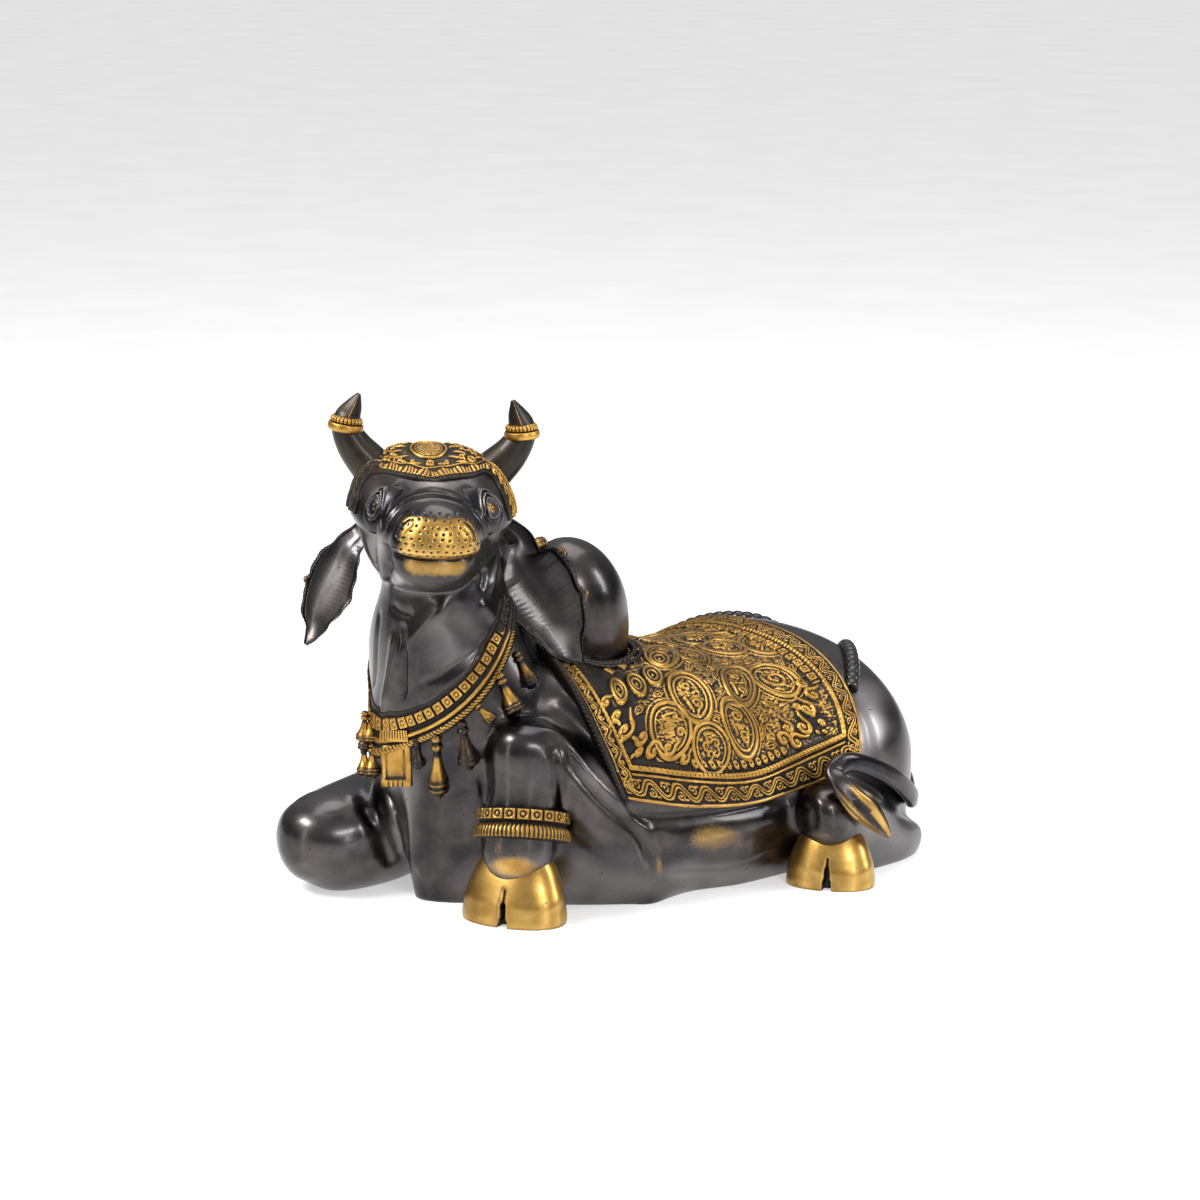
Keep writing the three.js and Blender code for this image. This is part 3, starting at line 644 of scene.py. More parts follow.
# Rings of a limb along a smooth path. A row holds the centre, the half width along `across` and
# the half heights on the two other sides.
def limbRings(rows, across, rings, sides, fullness=2.0):
    spine = through(rows, rings)
    centres = spine[:, :3]
    steps = np.arange(rings)
    ahead = centres[np.minimum(steps + 1, rings - 1)]
    along = unit(ahead - centres[np.maximum(steps - 1, 0)])
    side = unit(across - along * (along @ across)[:, None])
    rise = np.cross(along, side)
    angle = np.arange(sides) / sides * turn
    power = 2 / np.broadcast_to(np.asarray(fullness, float), (rings,))[:, None]
    reach = shaped(np.cos(angle)[None], power) * spine[:, 3:4]
    lift = shaped(np.sin(angle)[None], power)
    lift = lift * np.where(lift > 0, spine[:, 4:5], spine[:, 5:6])
    return centres[:, None] + side[:, None] * reach[..., None] + rise[:, None] * lift[..., None]


cannonRows = [
    (20, 53, -86, 12, 10, 10), (27, 53.5, -86.5, 15.5, 13, 14), (34, 53.5, -86, 18.5, 16, 17),
    (46, 53, -84.5, 18, 16.5, 17), (58, 52.2, -83, 15.6, 15.5, 16), (70, 51.6, -82, 15.6, 15.5, 16),
    (84, 51.6, -82, 16, 15.5, 16), (93, 51.2, -82.2, 12, 11.5, 12), (97, 51, -82.5, 5, 5, 5),
]
limbTable = {
    "crest": ([
        (0, -12, 108, 15, 14, 20), (0, -32, 128, 17, 17, 24), (-1, -50, 146, 19, 17, 28),
        (-4, -66, 163, 20, 17, 28), (-7, -79, 178, 20, 15, 24), (-9, -88, 190, 12, 8, 12),
    ], bodyLeft, 2.0),
    "leftForearm": ([
        (50, -92, 88, 7, 7, 7), (51, -84, 84, 16, 13, 15), (56, -68, 72, 19, 17, 18),
        (63, -52, 56, 19, 17, 18), (66, -38, 38, 17, 16, 17), (67, -26, 20, 13, 14, 15),
        (67, -20, 4, 9, 10, 10), (67, -19, -3, 8, 8, 8),
    ], unit(np.array([0.85, 0.5, 0.0])), 2.0),
    "leftCannon": (
        [(x, y, z, half, over, under) for z, x, y, half, over, under in cannonRows[::-1]],
        levelLeft, 2.0,
    ),
    "rightForearm": ([
        (-46, -62, 44, 18, 12, 30), (-45, -84, 40, 24, 17, 40), (-43, -105, 34, 27, 20, 38),
        (-42, -126, 28, 28, 22, 32), (-42, -144, 24, 23, 21, 24), (-42, -154, 21, 13, 13, 14),
        (-42, -158, 20, 4, 4, 4),
    ], bodyLeft, 2.0),
    "rightCannon": ([
        (-56, -138, 15, 9, 9, 9), (-63, -126, 15, 15, 14, 16), (-73, -105, 14, 12, 12, 15),
        (-80, -89, 14, 12, 12, 15), (-84, -78, 14, 14, 14, 15), (-86, -70, 13, 11, 11, 14),
        (-88, -61, 13, 13, 12, 14), (-90, -50, 13, 15, 14, 14),
    ], bodyLeft, 2.0),
}
shankRows = [
    (70, 141, 8, 7, 4, 12), (76, 135, 9, 15, 8, 14), (79, 124, 11, 19, 11, 16),
    (83, 110, 15, 18, 15, 20), (90, 94, 23, 15, 19, 27), (96, 82, 31, 15, 17, 26),
    (98, 72, 35, 16, 15.5, 20), (99, 61, 35.5, 14, 13, 15), (99, 55, 35, 7, 7, 8),
]
for side in (1, -1):
    rows = [(side * x, *rest) for x, *rest in shankRows]
    limbTable["leftShank" if side > 0 else "rightShank"] = (rows, bodyLeft, 2.6)

humpForm = {"centre": (0, -13, 133), "radius": 27, "height": 36, "lean": -0.12}


def humpRings(rings, sides):
    rise = np.radians(np.linspace(-72, 84, rings))
    z = humpForm["height"] * np.sin(rise)
    power = np.where(rise < 0, 0.45, 1.0)
    radius = humpForm["radius"] * np.cos(rise) ** power
    angle = np.arange(sides) / sides * turn
    x = radius[:, None] * np.cos(angle)
    y = radius[:, None] * np.sin(angle) + (z * humpForm["lean"])[:, None]
    return np.array(humpForm["centre"]) + np.stack([x, y, np.repeat(z[:, None], sides, 1)], 2)


def limbMesh(name, rings=60, sides=48):
    rows, across, fullness = limbTable[name]
    return loftMesh(limbRings(rows, across, rings, sides, fullness))


# The plane of the necklace parts the neck's fine upper skin from the body's.
neckMiddle = np.array([0.0, -85.0, 127.0])
neckNormal = unit(np.array([0.023, -0.756, 0.654]))


# Strokes drawn on a skin: photo pixels, width and rise in millimetres.
def carve(mesh, tree, strokes, falloff=2.0):
    points = readPoints(mesh)
    normals = readNormals(mesh)
    moved = np.zeros(len(points))
    for pixels, width, rise in strokes:
        line = []
        for x, y in through(pixels, 24):
            hit = underPixel(tree, x, y)
            if hit is not None:
                line.append(hit[0])
        if len(line) < 2:
            continue
        line = np.array(line)
        low, high = line.min(0) - width * 3, line.max(0) + width * 3
        near = np.flatnonzero(((points > low) & (points < high)).all(1))
        distance, along = nearLine(points[near], line)
        run = max(along.max(), 1e-6)
        fade = ease(along, 0, run * 0.15) * ease(run - along, 0, run * 0.15)
        facing = normals[near] @ viewAxes()[2]
        moved[near] += (
            rise * np.exp(-(distance / width) ** falloff) * fade * ease(facing, -0.1, 0.2)
        )
    writePoints(mesh, points + normals * moved[:, None])
    return moved


# Marks painted by the photo's pixels on what faces its camera: middle, reach and strength.
def dab(mesh, patches):
    points = readPoints(mesh)
    pixels = pixelsOf(points)
    facing = ease(readNormals(mesh) @ viewAxes()[2], 0.0, 0.25)
    mark = np.zeros(len(points))
    ripple = np.sin(pixels @ [0.07, 0.11] + 2 * np.sin(pixels @ [0.05, -0.04]))
    for x, y, reachX, reachY, strength in patches:
        size = np.hypot((pixels[:, 0] - x) / reachX, (pixels[:, 1] - y) / reachY)
        mark = np.maximum(mark, strength * ease(size + 0.16 * ripple, 1.5, 0.1))
    return mark * facing


skinPiece = {
    # photo pixels of the line, width and rise in millimetres
    "body": [
        ([(530, 724), (560, 738), (590, 777), (618, 803), (642, 826), (660, 866)], 3.2, 1.7),
        ([(563, 746), (580, 775), (606, 806), (638, 834), (655, 872)], 2.0, -2.6),
        ([(558, 745), (561, 780), (562, 815)], 1.5, 1.4),
        ([(553, 745), (556, 780), (556, 815)], 1.4, -1.6),
        ([(362, 805), (380, 835), (391, 868)], 2.4, -2.2),
        ([(345, 790), (362, 825), (374, 866)], 4.0, 1.2),
        ([(612, 800), (645, 818), (700, 816), (760, 806), (806, 792)], 3.2, -3.2),
        ([(655, 838), (700, 838), (755, 826), (790, 815)], 4.5, 1.6),
        ([(668, 872), (715, 872), (752, 864), (780, 848)], 3.0, -1.4),
        ([(420, 742), (414, 780), (413, 830), (416, 882)], 3.4, 2.4),
        ([(436, 760), (430, 800), (430, 850), (432, 884)], 4.0, -1.8),
        ([(392, 750), (390, 800), (396, 860)], 5.0, -1.2),
        ([(376, 740), (374, 790), (380, 850)], 3.0, 1.4),
        ([(545, 700), (570, 716), (600, 748), (625, 780)], 4.0, -1.2),
        ([(560, 690), (600, 725), (640, 770)], 3.0, 0.9),
        ([(455, 745), (470, 770), (480, 800)], 3.0, 1.0),
        ([(300, 800), (330, 780), (352, 772)], 5.0, 0.8),
        ([(800, 793), (812, 808), (815, 832)], 3.0, -1.2),
        ([(850, 690), (868, 730), (872, 775)], 3.0, -0.9),
    ],
    "head": [
        ([(385, 548), (386, 530), (392, 515), (404, 503), (419, 497.5), (433, 496), (448, 498),
          (462, 503), (474, 512), (483, 525), (487, 546)], 1.1, 1.9),
        ([(381, 546), (382, 528), (388, 512), (402, 499), (418, 493), (433, 491), (449, 493),
          (464, 499), (478, 509), (488, 524), (492, 545)], 1.6, -1.8),
        ([(390, 489), (401, 494), (410, 499)], 6.0, -1.1),
        ([(455, 500), (467, 494), (476, 489)], 6.0, -1.1),
        ([(432, 480), (432, 487), (433, 493)], 5.0, 0.8),
        ([(383, 515), (380, 545), (385, 584)], 2.2, 1.7),
        ([(374, 525), (373, 550), (379, 578)], 3.0, -1.0),
        ([(389, 560), (388, 575), (393, 590)], 1.6, -1.6),
        ([(481, 560), (484, 575), (480, 592)], 1.6, -1.4),
        ([(496, 532), (497, 562), (490, 594)], 2.4, 1.4),
        ([(505, 540), (506, 565), (500, 596)], 3.0, -0.9),
        ([(455, 600), (428, 622), (404, 650), (392, 684), (388, 712)], 4.0, 1.9),
        ([(401, 620), (405, 645), (404, 672), (404, 702)], 1.7, -2.3),
        ([(372, 603), (367, 630), (365, 660), (363, 695)], 2.2, 1.6),
        ([(380, 606), (376, 640), (375, 690)], 2.0, -1.4),
        ([(395, 630), (390, 665), (388, 700), (390, 722)], 2.0, 1.5),
        ([(413, 693), (425, 683), (440, 676), (470, 655), (495, 635)], 2.0, -1.1),
        ([(420, 706), (438, 692), (466, 672), (490, 650)], 2.4, 0.8),
        ([(440, 612), (462, 625), (480, 648)], 5.0, -1.4),
        ([(478, 602), (496, 620), (506, 640)], 3.0, 1.0),
        ([(390, 604), (400, 612), (414, 616)], 2.2, -1.2),
    ],
    # photo pixels of the middle and the reach, and the strength
    "rub": [
        (712, 838, 34, 22, 0.5), (742, 846, 26, 14, 0.32), (659, 866, 7, 17, 0.5),
        (512, 868, 26, 14, 0.75), (498, 848, 10, 12, 0.4), (826, 836, 22, 6, 0.4),
    ],
    # painted highlights and reflections: lighter grey on lit planes and on faces that take the
    # floor's light
    "pale": [
        (377, 545, 8, 45, 0.75), (396, 820, 20, 75, 0.5), (560, 880, 110, 22, 0.4),
        (720, 874, 70, 12, 0.55), (868, 728, 22, 60, 0.85), (895, 830, 40, 34, 0.6),
        (610, 775, 34, 26, 0.35), (330, 830, 45, 50, 0.15), (370, 655, 12, 50, 0.3),
        (452, 640, 30, 26, 0.28), (432, 482, 14, 7, 0.4), (628, 600, 9, 60, 0.45),
        (520, 770, 34, 40, 0.1), (470, 560, 90, 60, 0.08),
    ],
}


# The chest's right side swells under the bells: middle, reach and spread in millimetres
chestSwells = [((-10, -124, 88), 5.5, 15), ((-6, -119, 66), 10.0, 14)]


def swell(mesh):
    points = readPoints(mesh)
    for middle, reach, spread in chestSwells:
        gap = np.linalg.norm(points - np.array(middle), axis=1) / spread
        points = points - viewAxes()[0] * (reach * bump(gap))[:, None]
    writePoints(mesh, points)


def finishSkin(mesh, tree, strokes):
    moved = carve(mesh, tree, strokes)
    swell(mesh)
    # Lighter grey marks: painted highlights from the patches, and a painted reflection of the floor
    # on faces turned down.
    down = ease(-readNormals(mesh)[:, 2], 0.1, 0.9)
    setMark(mesh, "rub", dab(mesh, skinPiece["rub"]))
    # Painted shade: darker where the strokes carved the skin in.
    setMark(mesh, "dip", np.clip(-moved * 0.28, 0, 0.75))
    setMark(mesh, "pale", np.clip(dab(mesh, skinPiece["pale"]) + 0.25 * down, 0, 1))


# Body: one cast skin over the torso, the legs, the hump and the foot of the neck

bodyPiece = {"voxel": 1.95, "rounds": 11, "lap": 3.0}


def bodyParts():
    parts = [
        loftMesh(ringsOf(neckPoint, -4, 186, 60, 72)), limbMesh("crest"),
        loftMesh(ringsOf(torsoPoint, -108, 170, 120, 120)), loftMesh(humpRings(50, 64)),
    ]
    for mesh in parts[:2]:
        cutAway(mesh, neckMiddle + neckNormal * bodyPiece["lap"], -neckNormal, closed=True)
    return parts + [limbMesh(name) for name in limbTable if name != "crest"]


def makeBody():
    mesh = fuse(bodyParts(), bodyPiece["voxel"])
    relax(mesh, bodyPiece["rounds"])
    cutAway(mesh, (0, 0, 0), (0, 0, 1), closed=True)
    return mesh


bodyMesh = makeBody()
bodyTree = treeOf(bodyMesh)
print("body is fused")

# Head and upper neck: one finer skin

headPiece = {"voxel": 1.0, "rounds": 10}


def ballRings(ahead, up, depth, half, over, under, rings=30, sides=48):
    lean = np.radians(np.linspace(-80, 80, rings))[:, None]
    angle = np.arange(sides)[None] / sides * turn
    share = np.cos(lean)
    rise = np.sin(angle) * share
    height = up + rise * np.where(rise > 0, over, under)
    return onHead(ahead + depth * np.sin(lean) + 0 * angle, half * np.cos(angle) * share, height)


def makeHead():
    parts = [
        loftMesh(ringsOf(headPoint, -32, 50, 60, 80)),
        loftMesh(ballRings(45, -5, 15.6, 20.8, 19.8, 6)),
        loftMesh(ballRings(42.4, -12, 14.5, 18.6, 9, 15.2)),
        loftMesh(ringsOf(neckPoint, 20, 186, 80, 96)),
        loftMesh(ringsOf(torsoPoint, -108, 60, 80, 100)),
        loftMesh(humpRings(50, 64)),
        limbMesh("crest"),
    ]
    mesh = fuse(parts, headPiece["voxel"])
    cutAway(mesh, neckMiddle - neckNormal * 1.0, neckNormal)
    relax(mesh, headPiece["rounds"])
    return mesh


headMesh = makeHead()
headTree = treeOf(headMesh)
print("head is fused")


# Reliefs: heights drawn on a flat of x and y in millimetres

def blurred(image, sigma):
    if sigma <= 0:
        return image
    reach = int(math.ceil(sigma * 3))
    kernel = np.exp(-0.5 * (np.arange(-reach, reach + 1) / sigma) ** 2)
    kernel /= kernel.sum()
    wide = np.pad(image, reach, mode="edge")
    rows = sum(k * wide[i:i + image.shape[0]] for i, k in enumerate(kernel))
    return sum(k * rows[:, i:i + image.shape[1]] for i, k in enumerate(kernel))


def blurredPoints(grid, sigma):
    return np.stack([blurred(grid[..., k], sigma) for k in range(3)], -1)


# A cord drawn along a line: round on top, with its ends drawn out.
def strokeRelief(x, y, line, width, rise, taper=0.15):
    line = np.asarray(line, float)
    points = np.stack([x, y], 1)
    distance, along = nearLine(points, line)
    run = np.linalg.norm(np.diff(line, axis=0), axis=1).sum()
    ends = ease(along, -run * taper, run * taper) * ease(run - along, -run * taper, run * taper)
    reach = width * np.maximum(ends, 0.15)
    return rise * domed(distance / reach) * np.maximum(ends, 0.4)


def ringRelief(x, y, halfX, halfY, width, rise):
    size = np.hypot(x / halfX, y / halfY)
    gap = (size - 1) * min(halfX, halfY)
    return rise * domed(gap / width)


def turned(x, y, angle):
    c, s = math.cos(angle), math.sin(angle)
    return x * c + y * s, -x * s + y * c


def spiral(size, turns, hand=1, start=0.0, inner=0.12):
    t = np.linspace(0, 1, int(16 * turns) + 8)
    angle = start + hand * t * turns * turn
    radius = size * (1 - (1 - inner) * t ** 0.8)
    return np.column_stack([radius * np.cos(angle), radius * np.sin(angle)])


# A curl that swings out from a stem and winds up at its end.
def curl(start, heading, size, hand):
    stem = np.linspace(0, 1, 10)[:, None]
    way = np.array([math.cos(heading), math.sin(heading)])
    side = np.array([-way[1], way[0]]) * hand
    bend = np.array(start) + way * stem * size * 1.5 + side * stem ** 2 * size * 0.4
    centre = bend[-1] + side * size * 0.5
    angle0 = math.atan2(*(bend[-1] - centre)[::-1])
    t = np.linspace(0.08, 1, 16)
    radius = size * 0.5 * (1 - 0.75 * t)
    angle = angle0 + hand * t * turn * 0.95
    wound = centre + np.column_stack([radius * np.cos(angle), radius * np.sin(angle)])
    return np.concatenate([bend, wound])


# A wound scroll with a tail that swings away from it.
def volute(centre, size, heading, hand, turns=1.3, tail=1.6):
    t = np.linspace(0, 1, 28)
    angle = heading + hand * t * turns * turn
    radius = size * (0.2 + 0.8 * (1 - t) ** 0.9)
    wound = np.array(centre) + np.column_stack([radius * np.cos(angle), radius * np.sin(angle)])
    away = np.array([math.sin(heading), -math.cos(heading)]) * hand
    out = np.array([math.cos(heading), math.sin(heading)])
    s = np.linspace(1, 0, 9)[:-1, None]
    swing = wound[0] + away * s * size * tail + out * s ** 2 * size * tail * 0.45
    return np.concatenate([swing, wound])


# Small bumps of a cast or punched ground, the same each time.
def grainRelief(shape, step, size, rise, seed):
    rng = np.random.default_rng(seed)
    return blurred(rng.standard_normal(shape), size / step) * rise * size / step * 2.5


# Marks for the materials from a relief: raised parts are rubbed, hollows hold grime.
def wearFrom(height, step, gilding, fine=0.9, broad=4.0, sootAndShade=1.0):
    crest = height - blurred(height, fine / step)
    swell = height - blurred(height, broad / step)
    rub = np.clip(gilding + crest * 2.2 + swell * 0.9 * sootAndShade, 0, 1)
    dip = np.clip(-crest * 3.2 * (0.45 + 0.55 * sootAndShade) - swell * 0.5 * sootAndShade, 0, 1)
    return rub, dip


# Indices of a sheet's grid with a skirt that goes down into what carries it.
def skirted(count, skirt=3):
    index = np.arange(count + 1) - skirt
    inner = count - 2 * skirt
    over = np.maximum(np.maximum(-index, index - inner), 0) / skirt
    return np.clip(index / inner, 0, 1), over


def surfaceNormals(points):
    du = np.gradient(points, axis=1)
    dv = np.gradient(points, axis=0)
    return unit(np.cross(du, dv))


# A sheet laid on a surface, raised by a relief. `outside` is any direction off the surface at
# the sheet's middle.
def sheetMesh(across, along, surface, relief, outside, sink=3.0):
    u, overU = skirted(across)
    v, overV = skirted(along)
    shareU, shareV = np.meshgrid(u, v)
    base = surface(shareU.ravel(), shareV.ravel()).reshape(*shareU.shape, 3)
    normals = surfaceNormals(base)
    inside = (overU[None] == 0) & (overV[:, None] == 0)
    normals = np.where(np.isfinite(normals), normals, 0)
    middle = normals[normals.shape[0] // 2, normals.shape[1] // 2]
    if middle @ outside < 0:
        normals = -normals
    # The skirt's own points have no area, so they take the direction of the rim.
    rows = np.clip(np.arange(along + 1), 4, along - 4)
    columns = np.clip(np.arange(across + 1), 4, across - 4)
    normals = normals[rows][:, columns]
    height, marks = relief(shareU, shareV, base)
    down = np.maximum(overU[None], overV[:, None])
    lift = height * (1 - down) - sink * down
    points = base + normals * lift[..., None]
    flat = {name: np.where(inside, value, value * 0.3).ravel() for name, value in marks.items()}
    return gridMesh(across, along, lambda u, v: (points.reshape(-1, 3), flat))


def faceOut(mesh, outside):
    shape = bmesh.new()
    shape.from_mesh(mesh)
    bmesh.ops.recalc_face_normals(shape, faces=shape.faces)
    total = Vector((0, 0, 0))
    for face in list(shape.faces)[::37]:
        total += face.normal * face.calc_area()
    if total.dot(Vector(outside)) < 0:
        bmesh.ops.reverse_faces(shape, faces=shape.faces)
    shape.to_mesh(mesh)
    shape.free()
    return mesh


# Blanket: two halves that meet on the spine

blanketPiece = {
    "front": -56.0, "rear": 109.0, "lift": 2.0, "across": 300, "along": 312,
    "plainAcross": 200, "plainAlong": 216,
}


def blanketPlace(share, along):
    down = np.abs(share * 2 - 1)
    front = blanketPiece["front"] + 12 * down ** 3
    rear = blanketPiece["rear"] - 16 * down ** 2
    y = front + (rear - front) * along
    hem = 0.05 - 0.09 * np.sin(along * math.pi) + 0.08 * np.abs(along) ** 6
    return torsoPoint(y, hem + (math.pi - 2 * hem) * share)


# Ring medallions: along, share, half length, half height, turn, kind of filling
medallionTable = [
    (0.416, 0.278, 10.5, 17.5, 0.35, "leaf"), (0.27, 0.19, 11.5, 14.0, 0.3, "dots"),
    (0.385, 0.135, 10.5, 12.0, 0.0, "flower"), (0.53, 0.178, 9.2, 15.5, 0.1, "hook"),
    (0.64, 0.315, 9.0, 20.0, 0.62, "leaf"), (0.785, 0.31, 11.5, 13.5, 0.1, "scroll"),
    (0.885, 0.44, 9.0, 14.0, 0.2, "flower"), (0.78, 0.47, 9.5, 13.5, -0.2, "flower"),
    (0.60, 0.44, 8.5, 17.0, 0.75, "leaf"), (0.47, 0.42, 8.0, 15.0, 0.7, "hook"),
]
rosetteTable = [
    (616, 694, 0.15), (635, 689, 0.3), (651, 680, 0.45), (659, 664, 0.6), (669, 651, 0.75),
]
# Curls: along, share, heading in degrees, size, hand
curlTable = [
    (0.09, 0.235, 70, 4.5, 1), (0.1, 0.2, 250, 4.0, -1), (0.105, 0.165, 30, 7.5, -1),
    (0.15, 0.155, 200, 5.0, 1), (0.17, 0.125, 20, 7.0, 1), (0.23, 0.135, 330, 5.5, -1),
    (0.27, 0.11, 350, 4.0, -1), (0.69, 0.135, 20, 6.5, 1), (0.74, 0.12, 60, 7.0, 1),
    (0.78, 0.155, 40, 7.0, -1), (0.82, 0.2, 60, 7.5, -1), (0.87, 0.235, 80, 6.5, 1),
    (0.86, 0.27, 110, 5.0, 1), (0.72, 0.165, 60, 5.0, -1),
]
# Bosses: along, share, radius
bossTable = [
    (0.12, 0.115, 2.3), (0.08, 0.135, 1.6), (0.83, 0.185, 2.4), (0.855, 0.152, 2.3),
    (0.79, 0.215, 2.6), (0.86, 0.125, 1.5), (0.83, 0.13, 1.3), (0.09, 0.1, 1.2),
]
# Leaves between the medallions: along, share, heading in degrees, half length
fillTable = [
    (0.33, 0.235, 40, 4), (0.46, 0.215, -30, 4), (0.345, 0.17, -50, 3.5), (0.455, 0.14, 70, 3.5),
    (0.61, 0.16, 60, 4.5), (0.645, 0.2, 30, 4), (0.59, 0.245, 80, 3.5), (0.7, 0.24, -30, 4),
    (0.5, 0.36, 50, 4), (0.72, 0.385, 20, 4), (0.86, 0.36, 90, 4), (0.88, 0.33, 60, 3.5),
    (0.2, 0.24, 30, 4), (0.22, 0.165, -20, 3.5), (0.31, 0.29, 20, 4), (0.34, 0.32, 50, 3.5),
    (0.57, 0.33, 70, 3.5), (0.655, 0.47, 40, 4), (0.84, 0.5, 60, 3.5), (0.13, 0.25, 80, 3),
    (0.4, 0.205, 0, 3), (0.53, 0.11, 0, 4), (0.3, 0.125, 10, 4), (0.63, 0.125, 10, 4),
]
squareTable = [(0.53, 0.275), (0.6, 0.375), (0.7, 0.4), (0.52, 0.31), (0.69, 0.36)]
# Squares by the hump: photo pixels
tileTable = [(608, 676), (620, 671), (631, 664), (639, 655), (645, 645), (650, 634)]


def blanketRelief(share, along, base, step):
    height = np.zeros(share.shape)
    gold = np.zeros(share.shape)
    stepU = np.linalg.norm(np.diff(base, axis=1), axis=2)
    stepV = np.linalg.norm(np.diff(base, axis=0), axis=2)
    fromHem = np.concatenate([np.zeros((share.shape[0], 1)), np.cumsum(stepU, 1)], 1)
    fromFront = np.concatenate([np.zeros((1, share.shape[1])), np.cumsum(stepV, 0)], 0)
    fromRear = fromFront[-1:] - fromFront

    def local(a, s, reach):
        inside = np.abs(along - a) < reach / 150.0
        inside &= np.abs(share - s) < reach / 230.0
        rows, columns = np.nonzero(inside)
        if not len(rows):
            return None
        near = np.argmin((along - a) ** 2 + (share - s) ** 2)
        r, c = np.unravel_index(near, share.shape)
        r, c = min(max(r, 5), share.shape[0] - 6), min(max(c, 5), share.shape[1] - 6)
        back = unit(base[r + 1, c] - base[r - 1, c])
        up = unit(base[r, c + 1] - base[r, c - 1])
        gap = base[rows, columns] - base[r, c]
        return rows, columns, gap @ back, gap @ up

    # The share of the rows and of the columns under a photo pixel, on either side's blanket
    seen = pixelsOf((base * [1 if base[..., 0].mean() > 0 else -1, 1, 1]).reshape(-1, 3))

    def spotAt(x, y):
        near = np.argmin(np.hypot(seen[:, 0] - x, seen[:, 1] - y))
        return along.ravel()[near], share.ravel()[near]

    def raiseTo(rows, columns, value):
        height[rows, columns] = np.maximum(height[rows, columns], value)

    # Broad gilding: strong over the medallions, weak at the front and the rear corner.
    gold += 0.4 * ease(share, 0.06, 0.12)
    gold += 0.42 * ease(along, 0.17, 0.27) * ease(along, 0.96, 0.9) * ease(share, 0.08, 0.13)
    gold -= 0.5 * np.exp(-((along - 0.82) / 0.08) ** 2 - ((share - 0.16) / 0.06) ** 2)
    gold -= 0.42 * np.exp(-((along - 0.22) / 0.12) ** 2 - ((share - 0.36) / 0.07) ** 2)
    gold -= 0.35 * np.exp(-((along - 0.34) / 0.1) ** 2 - ((share - 0.44) / 0.05) ** 2)
    gold -= 0.25 * np.exp(-((along - 0.12) / 0.07) ** 2 - ((share - 0.17) / 0.08) ** 2)
    stipple = ease(gold, 0.3, 0.55)

    for a, s, halfX, halfY, lean, kind in medallionTable:
        found = local(a, s, max(halfX, halfY) * 1.5)
        if found is None:
            continue
        rows, columns, x, y = found
        x, y = turned(x, y, -lean)
        size = np.hypot(x / halfX, y / halfY)
        inner = size < 0.74
        raiseTo(rows, columns, ringRelief(x, y, halfX, halfY, 1.25, 1.35))
        raiseTo(rows, columns, ringRelief(x, y, halfX * 0.78, halfY * 0.8, 0.75, 0.85))
        outer = ringRelief(x, y, halfX * (1 + 2.6 / halfX), halfY * (1 + 2.6 / halfY), 0.7, 0.6)
        dome = 0.7 * domed(size / 0.74)
        strokes = []
        high = halfY * 0.34
        if kind == "leaf":
            strokes = [
                (volute((-1.6, high), 3.0, 2.2, 1), 0.9), (volute((1.8, -high), 3.0, -0.9, 1), 0.9),
                (curl((0.5, 0.5), 0.5, 2.6, 1), 0.8), (curl((-0.5, -1), 3.4, 2.6, 1), 0.8),
                ([(-4.5, -2), (-3, -high), (-0.8, -high * 1.9)], 0.9),
                ([(4.4, 1.5), (3.4, high), (1.2, high * 1.9)], 0.9),
            ]
        elif kind == "flower":
            strokes = [(volute((3.1 * math.cos(k * 1.257 + 0.3), 3.8 * math.sin(k * 1.257 + 0.3)),
                               1.9, k * 1.257 + 1.6, 1 if k % 2 else -1, 1.0, 1.3), 0.8)
                       for k in range(5)]
        elif kind == "hook":
            strokes = [
                (volute((-0.6, high), 3.2, 1.2, -1, 1.4, 2.2), 1.0),
                (volute((0.8, -high), 2.5, 4.2, -1), 0.85),
                ([(3.8, -1), (3.0, -high), (1.2, -high * 2)], 0.9),
                ([(-3.8, 0), (-3.4, -high)], 0.8),
            ]
        elif kind == "scroll":
            strokes = [(spiral(halfX * 0.62, 1.7, 1, 2.4), 1.1), (curl((2, -6), -0.6, 2.6, 1), 0.9),
                       (curl((4, 4), 0.9, 2.6, -1), 0.9), (curl((-3, 6), 2.0, 2.2, 1), 0.8)]
        elif kind == "dots":
            strokes = [(curl((-3, 6), 0.6, 3.2, -1), 1.0), (curl((4, 5), -0.4, 3.0, 1), 0.9),
                       (volute((5.5, -2), 2.2, 0.4, 1), 0.9), (curl((-5, 0), 2.0, 2.4, 1), 0.9)]
        raiseTo(rows, columns, outer)
        raiseTo(rows, columns, np.where(inner, dome, 0))
        for line, wide in strokes:
            drawn = strokeRelief(x, y, line, wide, 1.0) * ease(size, 0.84, 0.72)
            raiseTo(rows, columns, np.maximum(drawn, 0) + np.where(drawn > 0, dome, 0))
        edge = bump((size - 0.88) / 0.05) + bump((size - 0.68) / 0.05)
        gold[rows, columns] += 0.12 * ease(size, 1.0, 0.8) - 0.3 * edge

    # Leaves and lines that fill the ground between the medallions.
    for a, s, heading, reach in fillTable:
        rows, columns, x, y = local(a, s, reach * 2.5)
        x, y = turned(x, y, math.radians(heading))
        for bend in (-1.5, 0.0, 1.5):
            line = [(-reach, bend * 0.4), (0, bend * 1.2), (reach, bend * 0.5)]
            raiseTo(rows, columns, strokeRelief(x, y, line, 0.6, 0.7, 0.3))

